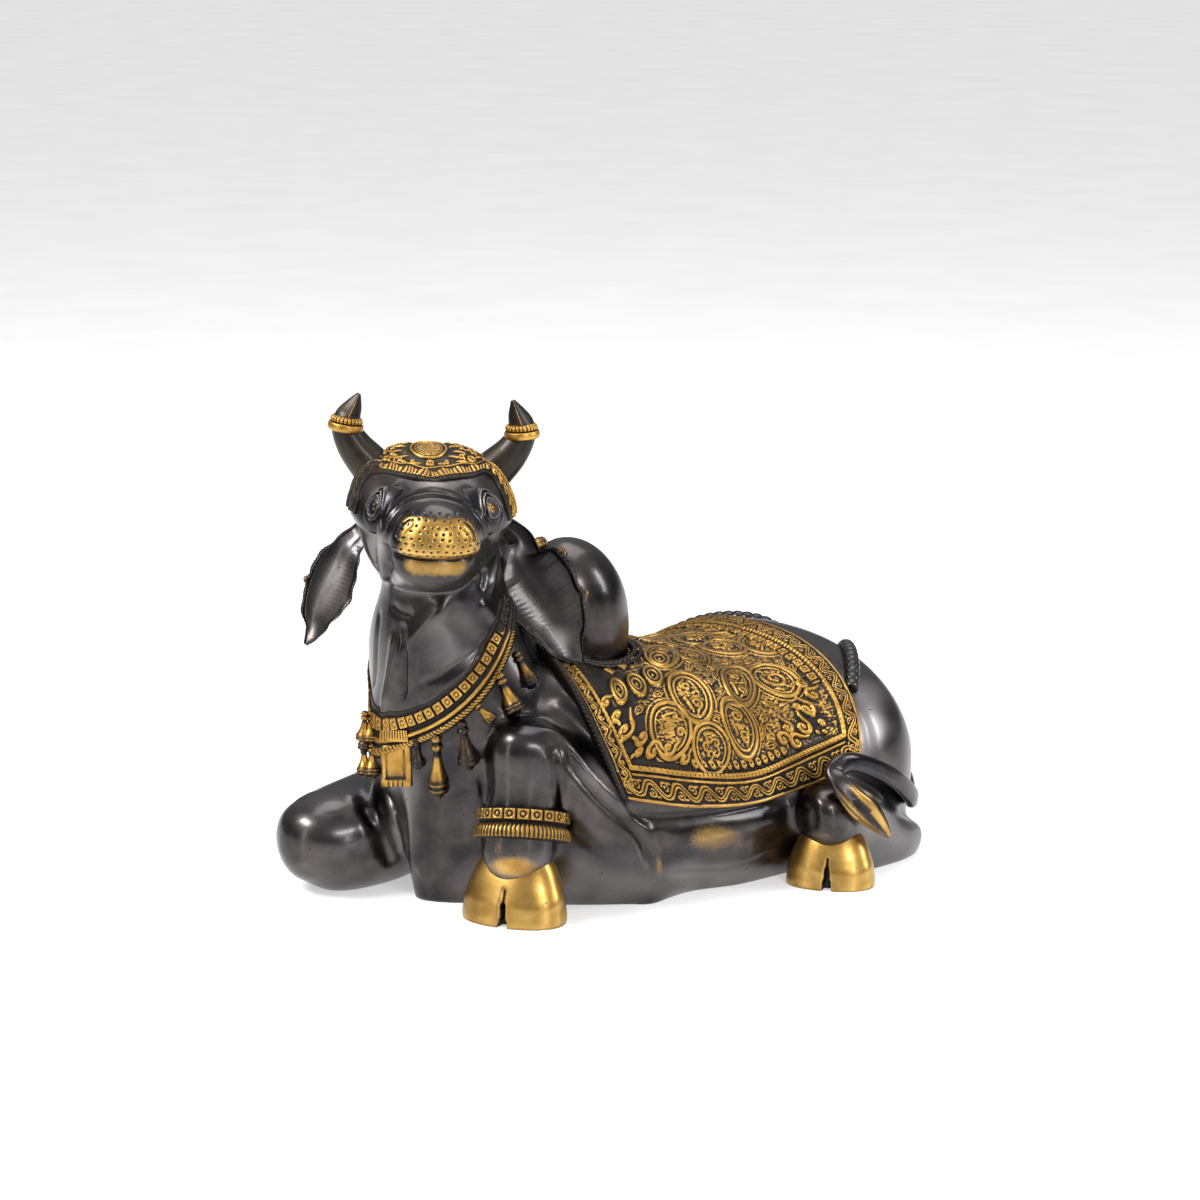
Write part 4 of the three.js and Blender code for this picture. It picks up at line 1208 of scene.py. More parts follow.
    for pixelX, pixelY, lean in rosetteTable:
        rows, columns, x, y = local(*spotAt(pixelX, pixelY), 16)
        x, y = turned(x, y, -lean)
        inside = np.hypot(x / 4.8, y / 8.4) < 1.02
        height[rows, columns] = np.where(inside, 0.2, height[rows, columns])
        for scale, width, rise in ((1.0, 1.2, 1.9), (0.55, 0.95, 1.6)):
            raiseTo(rows, columns, ringRelief(x, y, 4.4 * scale, 8.0 * scale, width, rise))
        raiseTo(rows, columns, 1.3 * domed(np.hypot(x / 1.1, y / 2.0)))
        gold[rows, columns] = np.where(inside, 0.3, gold[rows, columns])
    for pixelX, pixelY in tileTable:
        rows, columns, x, y = local(*spotAt(pixelX, pixelY), 7)
        x, y = turned(x, y, 0.5)
        size = np.maximum(np.abs(x) / 2.4, np.abs(y) / 3.0)
        raiseTo(rows, columns, 1.5 * ease(size, 1.05, 0.8))
        gold[rows, columns] += 0.4 * ease(size, 1.1, 0.9)

    for a, s, heading, size, hand in curlTable:
        rows, columns, x, y = local(a, s, size * 3.4)
        line = volute((0, 0), size * 0.56, math.radians(heading), hand, 1.1, 1.5)
        leaf = strokeRelief(x, y, line, 1.7, 2.0, 0.75)
        raiseTo(rows, columns, leaf)
        raiseTo(rows, columns, 1.9 * domed(np.hypot(x, y) / (size * 0.24)))
        gold[rows, columns] += 0.34 * np.clip(leaf, 0, 1)

    for a, s, radius in bossTable:
        rows, columns, x, y = local(a, s, radius * 2.5)
        size = np.hypot(x, y)
        raiseTo(rows, columns, 1.5 * domed(size / radius))
        height[rows, columns] -= 0.7 * bump(size / 0.6) * (radius > 2)
        gold[rows, columns] += 0.4 * ease(size, radius * 1.1, radius * 0.8)

    for a, s in squareTable:
        rows, columns, x, y = local(a, s, 6)
        x, y = turned(x, y, 0.6)
        size = np.maximum(np.abs(x), np.abs(y))
        raiseTo(rows, columns, 0.95 * ease(size, 2.5, 2.1))
        height[rows, columns] -= 0.5 * bump((size - 1.3) / 0.35)
        gold[rows, columns] += 0.2 * ease(size, 2.7, 2.2)

    # Borders, from the edge inwards: vine, rope, then beads along the hem and the rear.
    def rope(across, run, at, half, pitch):
        block = 0.55 + 0.45 * ridges(math.pi * run / pitch)
        shape = domed((across - at) / half)
        return 1.5 * shape * block

    def vine(across, run, middle, reach, pitch):
        phase = turn * run / pitch
        slope = np.hypot(1, reach * turn / pitch * np.cos(phase))
        gap = np.abs(across - middle - reach * np.sin(phase)) / slope
        found = domed((gap - 0.75) / 0.62)
        for part, sign in ((0.25, -1), (0.75, 1)):
            x = (run - pitch * (part - 0.5)) % pitch - pitch / 2
            y = (across - middle - sign * reach * 0.5) * sign
            size = np.hypot(x, y)
            coil = bump((size - reach * 0.58) / 0.5) * ease(x + y, -2.4, -1.0)
            found = np.maximum(found, 0.95 * coil)
            found = np.maximum(found, 0.9 * bump(size / 0.75))
            leaf = np.hypot((x - 2.6) / 1.5, (y - 1.6) / 0.7)
            found = np.maximum(found, 0.7 * domed(leaf))
        return found

    wave = 1.3 * np.sin(along * turn * 1.25 + 0.6)
    hemIn = fromHem - wave * ease(fromHem, 4, 12)
    inHem = hemIn < 17.5
    inFront = fromFront < 14
    inRear = fromRear < 12.5
    inBorder = inHem | inFront | inRear
    field = ease(hemIn, 16.0, 17.5) * ease(fromFront, 12.6, 14.0) * ease(fromRear, 11.5, 12.8)
    height *= field
    borders = np.zeros(share.shape)

    def raiseBorder(value):
        np.maximum(borders, value, out=borders)

    corner = (fromFront > 11.5) & (fromRear > 10.5)
    raiseBorder(np.where(corner, rope(hemIn, fromFront, 15.9, 1.6, 2.4), 0))
    raiseBorder(0.9 * ease(np.abs(hemIn - 1.0), 1.0, 0.5))
    raiseBorder(np.where(corner, 0.7 * ease(np.abs(hemIn - 12.6), 0.8, 0.4), 0))
    vines = np.where(fromFront > 5, vine(hemIn, fromFront, 6.9, 2.9, 15.0), 0)
    raiseBorder(vines * ease(hemIn, 1.6, 2.2) * ease(hemIn, 12.0, 11.4))
    up = hemIn > 15
    raiseBorder(np.where(up, rope(fromFront, fromHem, 12.4, 1.6, 2.4), 0))
    raiseBorder(np.where(hemIn > 6, 0.8 * ease(np.abs(fromFront - 5.0), 0.7, 0.4), 0))
    side = vine(fromFront, fromHem, 8.2, 1.6, 11.0) * ease(fromFront, 5.6, 6.2)
    raiseBorder(side * ease(fromFront, 11.2, 10.6) * ease(hemIn, 3, 6))
    raiseBorder(np.where(up, rope(fromRear, fromHem, 11.0, 1.6, 2.5), 0))
    raiseBorder(0.8 * ease(np.abs(fromRear - 0.9), 0.9, 0.5) * (hemIn > 4))
    rear = vine(fromRear, fromHem, 5.6, 2.3, 13.0) * ease(fromRear, 1.8, 2.4)
    raiseBorder(rear * ease(fromRear, 9.6, 9.0) * ease(hemIn, 3, 6))
    outline = np.maximum(np.maximum(height, 0), borders)
    # The oval beads over the hem's rope and the square ring beads by the rear rope.
    beadX = (fromFront % 4.7) - 2.35
    beadY = hemIn - 21.0
    size = np.hypot(beadX / 2.1, beadY / 2.7)
    row = (along > 0.29) & (along < 0.7)
    bead = np.where(row, 1.3 * domed(size), 0)
    bead -= np.where(row, 0.8 * bump(np.hypot(beadX, beadY) / 0.55), 0)
    outline = np.maximum(outline, bead)
    sqX = (fromHem % 6.4) - 3.2
    sqY = fromRear - 15.6
    box = np.maximum(np.abs(sqX), np.abs(sqY))
    column = (share > 0.26) & (share < 0.56) & (np.abs(sqY) < 4)
    square = 1.4 * ease(box, 2.7, 2.2) - 0.7 * bump((np.hypot(sqX, sqY) - 1.1) / 0.35)
    outline = np.where(column & (box < 2.9), np.maximum(square, 0), outline)
    outline = np.where(column & (box >= 2.9) & (np.abs(sqY) < 3.4), 0, outline)
    gold += 0.3 * column * ease(box, 2.8, 2.4) + 0.2 * row * ease(size, 1.1, 0.9)
    band = np.where(inBorder, 0.9, 0.0)
    gold = np.where(inBorder, 0.46 + 0.14 * ease(hemIn, 20, 12), gold)
    stipple = np.where(inBorder, 0.25, stipple)

    rough = grainRelief(share.shape, step, 0.62, 0.13, 11)
    ground = rough * (0.25 + 0.9 * stipple) * ease(outline, 1.0, 0.3)
    gold -= np.clip(-rough, 0, 0.3) * 2.2 * stipple
    soft = blurred(band, 0.5 / step)
    total = blanketPiece["lift"] + soft + outline + ground
    # The knurled roll on the front edge.
    roll = np.clip(1 - ((fromFront - 2.2) / 2.3) ** 2, 0, 1) ** 0.5
    twist = 0.5 + 0.5 * np.sin(turn * (fromHem + fromFront * 0.8) / 2.4)
    total = np.where(fromFront < 4.6, blanketPiece["lift"] + roll * (2.2 + 0.8 * twist), total)
    rub, dip = wearFrom(total - soft, step, gold, sootAndShade=1 - 0.75 * stipple)
    rub = np.where(fromFront < 4.6, 0.06, rub)
    clouds = blurred(np.random.default_rng(5).standard_normal(share.shape), 6 / step) * 6 / step
    rub = np.clip(rub + clouds * 0.22 * (rub > 0.08), 0, 1)
    return total, {"rub": rub, "dip": dip}


def makeBlanket(left):
    across = blanketPiece["across" if left else "plainAcross"]
    along = blanketPiece["along" if left else "plainAlong"]
    step = 165.0 / along

    def surface(u, v):
        share = u * 0.5
        return blanketPlace(share if left else 1 - share, v)

    def relief(u, v, base):
        return blanketRelief(u * 0.5, v, base, step)

    outside = np.array([1.0 if left else -1.0, 0, 0.6])
    mesh = sheetMesh(across, along, surface, relief, outside)
    return faceOut(mesh, outside)


# Turned shapes: a row is the radius, the height along the axis, the knurls' depth and the rub.
def turnedMesh(origin, axis, rows, knurls=0, rings=24, sides=48):
    axis = unit(np.asarray(axis, float))
    first = worldUp if abs(axis[2]) < 0.9 else bodyLeft
    first = unit(first - axis * (first @ axis))
    second = np.cross(axis, first)
    spine = evenly(np.asarray(rows, float), rings)
    angle = np.arange(sides) / sides * turn
    wave = ridges(angle * knurls / 2) - 0.6 if knurls else 0 * angle
    radius = spine[:, :1] + spine[:, 2:3] * wave[None]
    skin = (
        np.asarray(origin) + axis * spine[:, 1][:, None, None]
        + first * (radius * np.cos(angle))[..., None]
        + second * (radius * np.sin(angle))[..., None]
    )
    rub = np.broadcast_to(spine[:, 3:4], radius.shape)
    dip = np.clip(-spine[:, 2:3] * wave[None] * 4, 0, 1)
    return loftMesh(skin, {"rub": np.clip(rub - dip, 0, 1), "dip": dip})


# A tube along points. The shape function gives the radius from the angle and the run.
def tubeMesh(points, radius, sides=14, shape=None, closed=False, marks=None):
    count = len(points)
    ahead = np.roll(points, -1, 0) - np.roll(points, 1, 0)
    if not closed:
        ahead[0], ahead[-1] = points[1] - points[0], points[-1] - points[-2]
    ahead = unit(ahead)
    side = np.cross(ahead[0], worldUp)
    if np.linalg.norm(side) < 0.1:
        side = np.cross(ahead[0], bodyLeft)
    frames = [unit(side)]
    for k in range(1, count):
        moved = frames[-1] - ahead[k] * (frames[-1] @ ahead[k])
        frames.append(unit(moved))
    side = np.array(frames)
    other = np.cross(ahead, side)
    run = runAlong(points)
    angle = np.arange(sides) / sides * turn
    grid = np.broadcast_to(angle[None], (count, sides))
    width = np.broadcast_to(np.asarray(radius, float), (count,))[:, None]
    wide = width * (shape(grid, run[:, None]) if shape else 1)
    wide = np.broadcast_to(wide, (count, sides))
    rings = points[:, None] + side[:, None] * (wide * np.cos(grid))[..., None]
    rings = rings + other[:, None] * (wide * np.sin(grid))[..., None]
    shown = {
        name: np.broadcast_to(fn(grid, run[:, None]), grid.shape)
        for name, fn in (marks or {}).items()
    }
    if not closed:
        return loftMesh(rings, shown)
    rings = np.concatenate([rings, rings[:1]])
    shown = {name: np.concatenate([value, value[:1]]) for name, value in shown.items()}

    def place(u, v):
        row = np.rint(v * count).astype(int)
        column = np.rint(u * sides).astype(int) % sides
        return rings[row, column], {name: value[row, column] for name, value in shown.items()}

    return weld(gridMesh(sides, count, place))


# Hooves
hoofPiece = {
    "rings": [
        (0.99, -0.02, 0), (1.0, 0.08, 0), (0.99, 0.24, -0.01), (0.95, 0.42, -0.03),
        (0.86, 0.64, -0.08), (0.73, 0.86, -0.14), (0.55, 1.04, -0.19), (0.2, 1.12, -0.22),
    ],
    "cleftWidth": 4.4,
}


def hoofMesh(x, y, degrees, half, height):
    facing = math.radians(degrees)
    ahead = np.array([math.sin(facing), -math.cos(facing), 0.0])
    left = np.array([math.cos(facing), math.sin(facing), 0.0])
    rings, sides = 46, 120
    spine = through(hoofPiece["rings"], rings)
    even = np.arange(sides) / sides * turn
    angle = even - 0.45 * np.sin(even)
    reach = shaped(np.cos(angle), 0.9) * half * 0.62 * spine[:, :1]
    across = shaped(np.sin(angle), 0.9) * half * spine[:, :1]
    up = np.broadcast_to(spine[:, 1:2] * height, reach.shape)
    share = up / height
    width = hoofPiece["cleftWidth"] * 0.5 * np.clip(1 - share / 0.6, 0, 1)
    inCleft = ease(np.abs(across), width + 0.35, np.maximum(width - 0.25, 0.01)) * (share < 0.6)
    inCleft = inCleft * (np.cos(angle) > 0)
    reach = reach - inCleft * half * 0.24
    ridge = 0.12 * np.sin(share * 21 + np.sin(angle * 3)) * ease(share, 0.8, 0.3)
    reach, across = reach * (1 + ridge / half), across * (1 + ridge / half)
    back = spine[:, 2:3] * half
    points = (
        np.array([x, y, 0.0]) + ahead * (reach + back)[..., None]
        + left * across[..., None] + worldUp * np.maximum(up, 0)[..., None]
    )
    rub = ease(share, 1.06, 0.84) * (1 - 0.95 * inCleft)
    dip = np.clip(inCleft * 0.8 + 0.5 * ease(share, 0.05, 0.0), 0, 1)
    return loftMesh(points, {"rub": rub, "dip": dip})


def makeHooves():
    meshes = [hoofMesh(53, -88, 31, 26, 31)]
    for side in (1, -1):
        meshes.append(hoofMesh(side * 102, 69, side * 40, 22, 27))
    return joinMeshes(meshes)


# Horns: the shaft, the faceted tip, the rope ring and the plain band
hornPiece = {
    "rows": [
        (14, -8, 22, 10.5), (22, -8, 30, 9.8), (30, -8, 37.2, 8.4), (38, -8, 41.6, 7.0),
        (44, -7, 41.4, 6.4), (50, -6, 39, 4.4), (56, -5, 36.6, 1.1),
    ],
    "bandHeight": 41.5,
}


def hornMesh(side):
    rings = 80
    spine = through(hornPiece["rows"], rings)
    centres = onHead(spine[:, 1], side * spine[:, 2], spine[:, 0])
    rows = np.column_stack([centres, spine[:, 3], spine[:, 3], spine[:, 3]])
    facets = mix(2.0, 1.25, ease(spine[:, 0], 42, 47))
    points = limbRings(rows, forward, rings, 40, facets)
    angle = np.arange(40) / 40 * turn
    ridge = np.abs(np.cos(angle * 2)) ** 12 * ease(spine[:, 0], 43, 47)[:, None]
    shaft = ease(spine[:, 0], 20, 34)[:, None] * ease(spine[:, 0], 40, 36)[:, None]
    worn = 0.32 * shaft * bump((angle[None] - 2.4) / 0.6)
    return loftMesh(points, {"rub": np.clip(ridge * 0.8 + worn, 0, 1)})


def hornBand(side):
    _, ahead, left, thickness = rowAt(hornPiece["rows"], hornPiece["bandHeight"])[0]
    radius = thickness * 0.9
    origin = onHead(ahead, side * left, hornPiece["bandHeight"])
    axis = headUp - headLeft * 0.12 * side
    plain = [
        (radius * 0.5, -4.6, 0, 0.2), (radius + 0.7, -4.4, 0, 0.3), (radius + 1.0, -4.1, 0, 0.5),
        (radius + 2.3, -3.6, 0, 0.95), (radius + 2.6, -2.0, 0, 1), (radius + 2.3, -0.3, 0, 0.95),
        (radius + 1.2, 0.0, 0, 0.1), (radius * 0.5, 0.2, 0, 0.1),
    ]
    rope = [
        (radius * 0.4, -0.3, 0, 0.1), (radius + 1.0, 0.0, 0.3, 0.5), (radius + 1.6, 0.8, 0.8, 0.9),
        (radius + 1.3, 2.2, 0.8, 0.95), (radius + 0.3, 3.2, 0.4, 0.8), (radius * 0.4, 3.4, 0, 0.1),
    ]
    return [
        turnedMesh(origin, axis, plain, rings=30, sides=56),
        turnedMesh(origin, axis, rope, knurls=24, rings=22, sides=144),
    ]


# Ears: cupped leaves with a notched rim and a knob on the outer edge
earPiece = {
    1: [
        (-14, 36, -6, 5), (-11, 43.6, -12.5, 7), (-6, 44.6, -20.5, 13.5), (-2, 49.6, -27.4, 18),
        (1, 56, -36.2, 18.2), (4, 62, -46.1, 15.6), (6, 67.5, -57.6, 10), (6, 76, -68.2, 0.8),
    ],
    -1: [
        (-14, 30, -10, 4.5), (-14, 33.5, -14.5, 5), (-12, 38.5, -20, 6.7), (-9, 43.2, -30, 9.9),
        (-6, 47.3, -39.6, 10.3), (-3, 51.2, -50, 7.9), (-1, 53.8, -59.2, 3.6),
        (0, 56.8, -65.5, 0.7),
    ],
    "thickness": 3.6, "swing": {1: 0.0, -1: 0.8}, "knob": {1: 0.6, -1: 0.56},
}


def earMesh(side):
    rows = evenly(through(earPiece[side], 90), 170)
    ahead, left, up, half = rows.T
    slope = unit(np.column_stack([np.gradient(left), np.gradient(up)]))
    outX, outZ = -slope[:, 1], slope[:, 0]
    leaf = np.sin(np.linspace(-math.pi / 2, math.pi / 2, 41))
    t = np.concatenate([leaf, leaf[::-1][1:-1]])[None]
    front = np.concatenate([np.ones(41), np.zeros(39)])[None]
    run = np.linspace(0, 1, len(rows))[:, None]
    length = 74.0
    rim = ease(np.abs(t), 0.78, 1.0)
    notch = 0.45 * ridges(run * length * math.pi / 1.9) * ease(run, 0.22, 0.3)
    wave = 0.6 * np.sin(run * 17 + 1.5 * np.sign(t)) + 0.35 * np.sin(run * 41 + np.sign(t))
    wide = half[:, None] * t + (
        np.sign(t) * rim * (notch + wave * ease(run, 0.1, 0.3) * ease(run, 1.0, 0.9))
    )
    cup = 0.2 * half[:, None] * t ** 2 - earPiece["swing"][side] * half[:, None] * t
    thick = earPiece["thickness"] * 0.5 * (1 - 0.6 * t ** 2) * (front * 2 - 1)
    edge = (0.9 + notch) * bump((np.abs(t) - 0.93) / 0.06) * front
    mid = 0.3 * bump((t + 0.1 * np.sin(run * 5)) / 0.16) * ease(run, 0.9, 0.4)
    hollow = -2.2 * (1 - t ** 2) ** 1.5 * ease(run, 0.05, 0.35) * ease(run, 1.0, 0.8)
    hatch = 0.018 * np.sin(run * length * 2.6 + np.abs(t) * 9) * ease(np.abs(t), 0.15, 0.5)
    lift = thick + edge + (mid + hollow + hatch) * front
    knob = bump(((run - earPiece["knob"][side]) * length) / 2.0) * ease(t, 0.8, 1.0)
    wide = wide + 2.6 * knob
    lift = lift + 1.0 * knob * front
    points = onHead(
        ahead[:, None] + cup + lift, side * (left[:, None] + outX[:, None] * wide),
        up[:, None] + outZ[:, None] * wide,
    )
    streak = np.exp(-((run - 0.8) / 0.07) ** 2 - ((t + 0.15) / 0.3) ** 2) * front * (side > 0)
    worn = 0.22 * rim * notch * 2 + 0.42 * streak + 0.35 * knob
    dip = 0.55 * front * bump((np.abs(t) - 0.8) / 0.08) + 0.2 * front * (1 - t ** 2)
    # The near ear's streak is rubbed brass with a painted highlight over it, and the ear's inner
    # face is drawn a little lighter: painted sheen.
    pale = (0.9 * streak + 0.12 * front * ease(np.abs(t), 0.9, 0.2)) * np.ones_like(wide)
    marks = {"rub": worn, "dip": dip * np.ones_like(wide), "pale": pale}
    return loftMesh(points, {name: np.clip(value, 0, 1) for name, value in marks.items()})


# Cap: over the poll and the forehead, with a band down each side. The edge's rows hold the
# angle round the head in degrees and the distance ahead.
capPiece = {
    "across": 370, "along": 140, "lift": 0.8, "middle": 92.5,
    "edge": [
        (0, 17), (12.5, 17.7), (22.5, 17.5), (34.5, 15.3), (44.5, 11.9), (54, 11), (63.5, 17),
        (74, 21), (83.5, 23.3), (91, 25.8), (97, 24.8), (111.5, 20.7), (128.5, 13.6),
        (136.5, 10.6), (144.5, 11), (155.5, 13.7), (162, 16.2), (180, 17),
    ],
    # across, ahead, heading in degrees, size, hand
    "curls": [
        (9.5, 7, 20, 3.4, -1), (10, -3, 320, 3.2, 1), (13, 11, 330, 2.8, 1), (16, 5, 60, 2.8, 1),
        (17, -3, 10, 3.2, -1), (23, 3, 300, 2.6, 1), (24, -6, 30, 2.6, -1), (4, 13.5, 10, 2.4, -1),
        (12, 2, 350, 2.6, 1), (19, 9, 340, 2.4, -1), (26, 8, 320, 2.2, 1), (28, 0, 20, 2.4, 1),
        (-10, 7, 160, 3.6, 1), (-11, -4, 220, 3.2, -1), (-11, 12, 200, 2.6, 1),
        (-16, 5, 120, 2.8, -1), (-18, -2, 180, 3.0, 1), (-24, 3, 240, 2.4, -1),
        (-25, -5, 150, 2.6, 1), (-4, 13.5, 170, 2.4, 1), (0, -13, 90, 3.2, 1),
        (8, -12, 40, 3.0, -1),
        (-8, -12, 140, 3.0, 1), (-13, 1, 190, 2.6, -1), (-19, 10, 200, 2.4, 1),
        (-27, 8, 220, 2.2, -1), (-29, -1, 160, 2.4, -1), (17, -11, 20, 2.8, 1),
        (-17, -11, 160, 2.8, -1),
    ],
    "rings": [(15, -8, 2.2), (-15, -8.5, 2.2), (20.5, 6, 1.7), (-20.5, 6, 1.7), (30.5, 4, 1.8),
              (-30.5, 3.5, 1.8), (0.2, 13.4, 1.5), (22, -1.5, 1.4), (-22, -1.5, 1.4)],
    "bandPitch": 5.3,
}


def capWidth(degrees, front):
    crown = ease(np.abs(degrees - 90), 44, 26)
    return mix(11.6, front + 24, crown)


def makeCap():
    piece = capPiece

    def surface(u, v):
        degrees = mix(177, 3, u)
        front = rowAt(piece["edge"], degrees)[:, 1]
        ahead = front - v * capWidth(degrees, front)
        angle = np.radians(degrees)
        inner, outer = headPoint(ahead, angle), headPoint(ahead, angle, 12.0)
        way = unit(inner - outer)
        points = inner.copy()
        for k in range(len(points)):
            hit = headTree.ray_cast(Vector(outer[k]), Vector(way[k]), 22)[0]
            if hit is not None:
                points[k] = hit
        grid = points.reshape(piece["along"] + 1, piece["across"] + 1, 3)
        return blurredPoints(grid, 2.5).reshape(-1, 3)

    def relief(u, v, base):
        degrees = mix(177, 3, u)
        front = rowAt(piece["edge"], degrees.ravel())[:, 1].reshape(u.shape)
        width = capWidth(degrees, front)
        fromEdge = v * width
        y = front - fromEdge
        run = np.concatenate([
            np.zeros((u.shape[0], 1)), np.cumsum(np.linalg.norm(np.diff(base, axis=1), axis=2), 1)
        ], 1)
        middle = np.argmin(np.abs(degrees[0] - piece["middle"]))
        x = run - run[:, middle:middle + 1]
        side = ease(np.abs(degrees - 90), 32, 42)
        flatX, flatY = x.ravel(), y.ravel()
        height = np.zeros(u.shape)

        def raiseWith(value):
            np.maximum(height, value.reshape(u.shape) * (1 - side), out=height)

        size = np.hypot(x / 8.4, y / 9.6)
        for scale, wide, rise in ((1.0, 0.8, 1.0), (0.78, 0.5, 0.7)):
            raiseWith(ringRelief(x, y, 8.4 * scale, 9.6 * scale, wide, rise))
        raiseWith(0.55 * ease(size, 0.72, 0.66))
        for cx, cy, heading, reach, hand in piece["curls"]:
            line = curl((cx, cy), math.radians(heading), reach, hand)
            near = (np.abs(flatX - cx) < reach * 3.4) & (np.abs(flatY - cy) < reach * 3.4)
            value = np.zeros(len(flatX))
            value[near] = strokeRelief(flatX[near], flatY[near], line, 0.85, 0.95, 0.25)
            raiseWith(value * (size.ravel() > 1.02))
        for cx, cy, radius in piece["rings"]:
            raiseWith(ringRelief(x - cx, y - cy, radius, radius, 0.7, 1.0))
            raiseWith(0.9 * ease(np.hypot(x - cx, y - cy), 0.8, 0.5))
        rng = np.random.default_rng(8)
        for k in range(34):
            way, reach = k * 2.4, 5.4 * math.sqrt((k + 0.5) / 34)
            hole = np.hypot(x - reach * math.cos(way), y / 1.1 - reach * math.sin(way))
            height -= 0.6 * np.exp(-(hole / 0.42) ** 4) * (size < 0.75)
        # The fringe, its double line, the plain rim, then the side bands and the plain back.
        slant = x + 0.35 * fromEdge * np.sign(x) + 0.5 * np.sin(x * 0.7)
        strand = ridges(slant * math.pi / 1.9) * ease(fromEdge, 2.4, 3.2)
        strand = strand * ease(fromEdge + 0.9 * np.sin(x * 0.8), 8.4, 6.6)
        clear = ease(fromEdge, 9.6, 8.8)
        height = height * (1 - clear * (1 - side)) + 0.75 * strand * (1 - side)
        line = bump((fromEdge - 9.2 - 0.5 * np.sin(x * 0.5)) / 0.45)
        height = np.maximum(height, 0.7 * line * (1 - side))
        back = ease(y, -14, -17) * (1 - side)
        wave = np.sin(x * 0.75)
        scales = 0.7 * np.sqrt(np.abs(wave * np.sin(y * 0.75 + np.sign(wave))))
        height = height * (1 - back) + scales * back
        pitch = piece["bandPitch"]
        along = (x % pitch) - pitch / 2
        bead = np.hypot(along / 2.2, (fromEdge - 5.0) / 2.6)
        rosette = 1.15 * domed(bead) - 0.7 * bump((bead - 0.55) / 0.13)
        rope = 1.2 * domed((fromEdge - 9.7) / 1.3)
        rope = rope * (0.6 + 0.4 * ridges(x * math.pi / 2.0))
        height = height * (1 - side) + side * np.maximum(np.maximum(rosette, rope), 0)
        wavy = 1.3 + 0.45 * np.sin(x * 1.15) + 0.3 * np.sin(x * 2.9)
        rim = ease(fromEdge, wavy + 0.5, wavy - 0.3) * (1 - 0.45 * side)
        height = height * (1 - rim) + rim * 0.55
        height = height + grainRelief(u.shape, 0.4, 0.5, 0.04, 21)
        gold = 0.56 * ease(y, -18, -4) - 0.14 * ease(np.abs(x), 16, 28)
        gold = gold + 0.1 * ease(size, 1.05, 0.9) + 0.12 * strand
        gold = mix(gold, np.where(x > 0, 0.45, 0.02), side)
        gold = gold * (1 - rim)
        rub, dip = wearFrom(height, 0.4, gold)
        rub = rub * np.where(x < 0, mix(1.0, 0.3, side), 1.0) * (1 - 0.8 * rim)
        return piece["lift"] + height, {"rub": rub, "dip": dip}

    sheet = sheetMesh(piece["across"], piece["along"], surface, relief, headUp, sink=2.6)
    return faceOut(sheet, headUp)


# Muzzle: the punched dome, the nostrils and the lower lip, with painted shade on the lip's top for
# the mouth line
muzzlePiece = {"dome": (46, -5, 17, 21.5, 20.6, 6.4), "lip": (43.4, -11.8, 15.4, 19.4, 9, 16.0)}


def ballSheet(count, form, relief):
    ahead, up, depth, half, over, under = form

    def place(u, v):
        # A square drawn to a disc, then raised to a half ball.
        x, y = u * 2 - 1, v * 2 - 1
        discX = x * np.sqrt(1 - y * y / 2)
        discY = y * np.sqrt(1 - x * x / 2)
        radius = np.minimum(np.hypot(discX, discY), 1)
        lean = radius * math.radians(98)
        direction = np.arctan2(discY, discX)
        out = np.cos(lean)
        across, rise = np.sin(lean) * np.cos(direction), np.sin(lean) * np.sin(direction)
        left, high = half * across, rise * np.where(rise > 0, over, under)
        height, marks = relief(left, high, out)
        points = onHead(ahead + depth * out, left, up + high)
        normal = unit(
            forward * (out / depth)[:, None] + headLeft * (across / half)[:, None]
            + headUp * (rise / np.where(rise > 0, over, under))[:, None]
        )
        return points + normal * height[:, None], marks

    return faceOut(weld(gridMesh(count, count, place)), forward)


def domeRelief(left, high, out):
    height = np.zeros(len(left))
    dip = np.zeros(len(left))
    rng = np.random.default_rng(3)
    for row, at in enumerate(np.linspace(-5.4, 16.5, 9)):
        width = 20.5 * math.sqrt(max(1 - (max(at, 0) / 20) ** 2, 0.1))
        count = int(width * 2 / 3.4)
        for k in range(count):
            x = mix(-width, width, (k + 0.5 + 0.5 * (row % 2) - 0.25) / count)
            x += rng.uniform(-0.5, 0.5)
            z = at + rng.uniform(-0.45, 0.45)
            hole = np.exp(-(np.hypot(left - x, high - z) / 0.5) ** 4)
            height -= 0.55 * hole
            dip = np.maximum(dip, hole)
    for side in (-1, 1):
        line = [(side * 12.5, 13.5), (side * 16.5, 9.5), (side * 18.5, 4.5)]
        line = through(line, 12)
        groove = strokeRelief(left, high, line, 0.55, 1.0)
        height -= 0.6 * groove
        dip = np.maximum(dip, groove)
        height += 0.5 * strokeRelief(left, high, line + [side * -1.3, -1.0], 1.3, 1.0)
    height += 0.5 * bump((high + 7.4) / 0.8)
    rub = ease(high, 18.0, 11.5) * 0.95 * ease(left, -21.5, -13.0) * ease(out, 0.05, 0.5)
    rub = np.clip(rub * (1 - dip), 0, 1)
    return height, {"rub": rub, "dip": dip}


